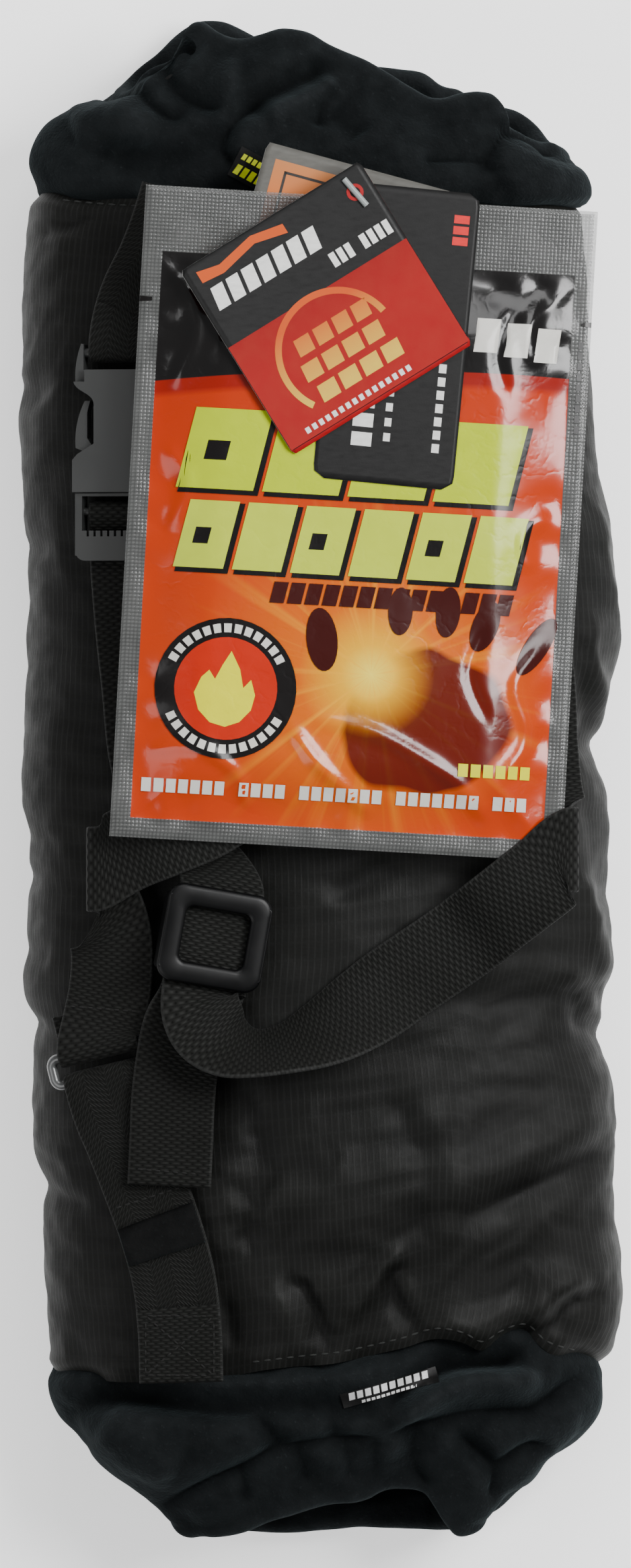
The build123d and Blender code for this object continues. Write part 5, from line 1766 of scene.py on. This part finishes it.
# ---- stitching ---------------------------------------------------------------------------
def stitch_row(line, height, pitch=3.4, length=2.3, radius=0.32, lift=0.12):
    """Points of short threads along a line of (x, y), as tapered six-sided rods."""
    line = through(line, 400)
    run = np.concatenate([[0], np.cumsum(np.hypot(*np.diff(line, axis=0).T))])
    rods = []
    for start in np.arange(0.5, run[-1] - length, pitch):
        at = start + np.linspace(0, length, 5)
        x, y = np.interp(at, run, line[:, 0]), np.interp(at, run, line[:, 1])
        z = height(x, y) + lift
        centre = np.stack([x, y, z], 1)
        ahead = unit(centre[-1] - centre[0])
        side = unit(np.cross(ahead, [0, 0, 1]))
        up = np.cross(side, ahead)
        thick = radius * np.array([0.35, 0.9, 1.0, 0.9, 0.35])
        sink = np.array([0.3, 0.05, 0, 0.05, 0.3])
        rings = []
        for turn in np.linspace(0, 2 * math.pi, 6, endpoint=False):
            around = side * math.cos(turn) + up * math.sin(turn)
            rings.append(centre + around * thick[:, None] - up * sink[:, None])
        rods.append(np.array(rings).transpose(1, 0, 2))
    return rods


def sew(name, rods, material, slot_name):
    vertices, faces = [], []
    for rod in rods:
        base = len(vertices)
        vertices += list(rod.reshape(-1, 3))
        for row in range(4):
            for column in range(6):
                after = (column + 1) % 6
                faces.append([base + row * 6 + column, base + row * 6 + after, base + row * 6 + 6 + after,
                              base + row * 6 + 6 + column])
    made = make_mesh(name, vertices, faces)
    paint(made, material)
    return place(made, "muff", slot_name)


def stitch_everything():
    on_shell = height_finder(shell)
    low_hem = [(x, float(read(LOWER_SEAM, x)) + 3.2) for x in (-20, -5, 5, 15, 25, 36, 43, 48, 54, 61, 67,
                                                               76)]
    high_hem = [(x, float(read(UPPER_SEAM, x)) - 3.0) for x in (-76, -68, -60, -52)]
    rods = stitch_row(low_hem, on_shell) + stitch_row(high_hem, on_shell)
    sew("shell_hem_stitches", rods, THREAD, "shell_nylon")

    on_patch = height_finder(sewn_patch)
    left, right, low, high = -50.6, -30.6, -173.4, -156.0
    box = ([(left, low), (right, low)], [(left, high), (right, high)], [(left, low), (left, high)],
           [(right, low), (right, high)], [(left, low), (right, high)], [(left, high), (right, low)])
    rods = [rod for ends in box for rod in stitch_row(ends, on_patch, 2.6, 1.8, 0.28)]
    on_belt = height_finder(belt)
    for y, x_left, x_right in ((-66.0, -73.5, -51.5), (-113.6, -53.6, -33.4)):
        rods += stitch_row([(x_left, y + 0.8), (x_right, y - 0.8)], on_belt, 2.6, 1.8, 0.28)
    on_tab = height_finder(tab)
    rods += stitch_row([(-59.8, -124.6), (-38.0, -117.4)], on_tab, 2.6, 1.8, 0.28)
    sew("strap_stitches", rods, plain_fabric("strap_thread", (0.012, 0.012, 0.0115), 0.7, 0.3, 0.05),
        "webbing")


stitch_everything()


# ---- stage -------------------------------------------------------------------------------
def build_stage():
    look = Surface("pale_floor", (0.92, 0.92, 0.92), 0.8)
    look.shader.inputs["Emission Color"].default_value = (1, 1, 1, 1)
    look.shader.inputs["Emission Strength"].default_value = 0.75
    look.bump(look.noise(3, 2), 0.02, 0.3)
    floor = make_mesh("floor",
                      [(-4000, -4000, -0.6), (4000, -4000, -0.6), (4000, 4000, -0.6), (-4000, 4000, -0.6)],
                      [(0, 1, 2, 3)])
    paint(floor, look.material)

    world = bpy.data.worlds.new("studio")
    world.use_nodes = True
    world.node_tree.nodes["Background"].inputs["Color"].default_value = (1, 1, 1, 1)
    world.node_tree.nodes["Background"].inputs["Strength"].default_value = 0.3
    bpy.context.scene.world = world
    lamps = (
        ("key", (0.75, 0.35, 1.1), 0.6, 25.0),
        ("fill", (-0.8, -0.5, 1.0), 0.9, 7.0),
        ("top", (0.1, 0.9, 0.9), 0.6, 6.0),
    )
    for name, spot, size, power in lamps:
        lamp = bpy.data.lights.new(name, "AREA")
        lamp.size = size
        lamp.energy = power
        made = bpy.data.objects.new(name, lamp)
        made.location = spot
        made.rotation_euler = (-Vector(spot)).to_track_quat("-Z", "Y").to_euler()
        bpy.context.scene.collection.objects.link(made)

    camera = bpy.data.cameras.new("camera")
    distance = 4.0
    view_length = 0.4612
    camera.lens = camera.sensor_width * (distance - 0.06) / view_length
    camera.clip_end = 20
    made = bpy.data.objects.new("camera", camera)
    made.location = (-0.0008, 0, distance)
    bpy.context.scene.collection.objects.link(made)
    bpy.context.scene.camera = made


build_stage()
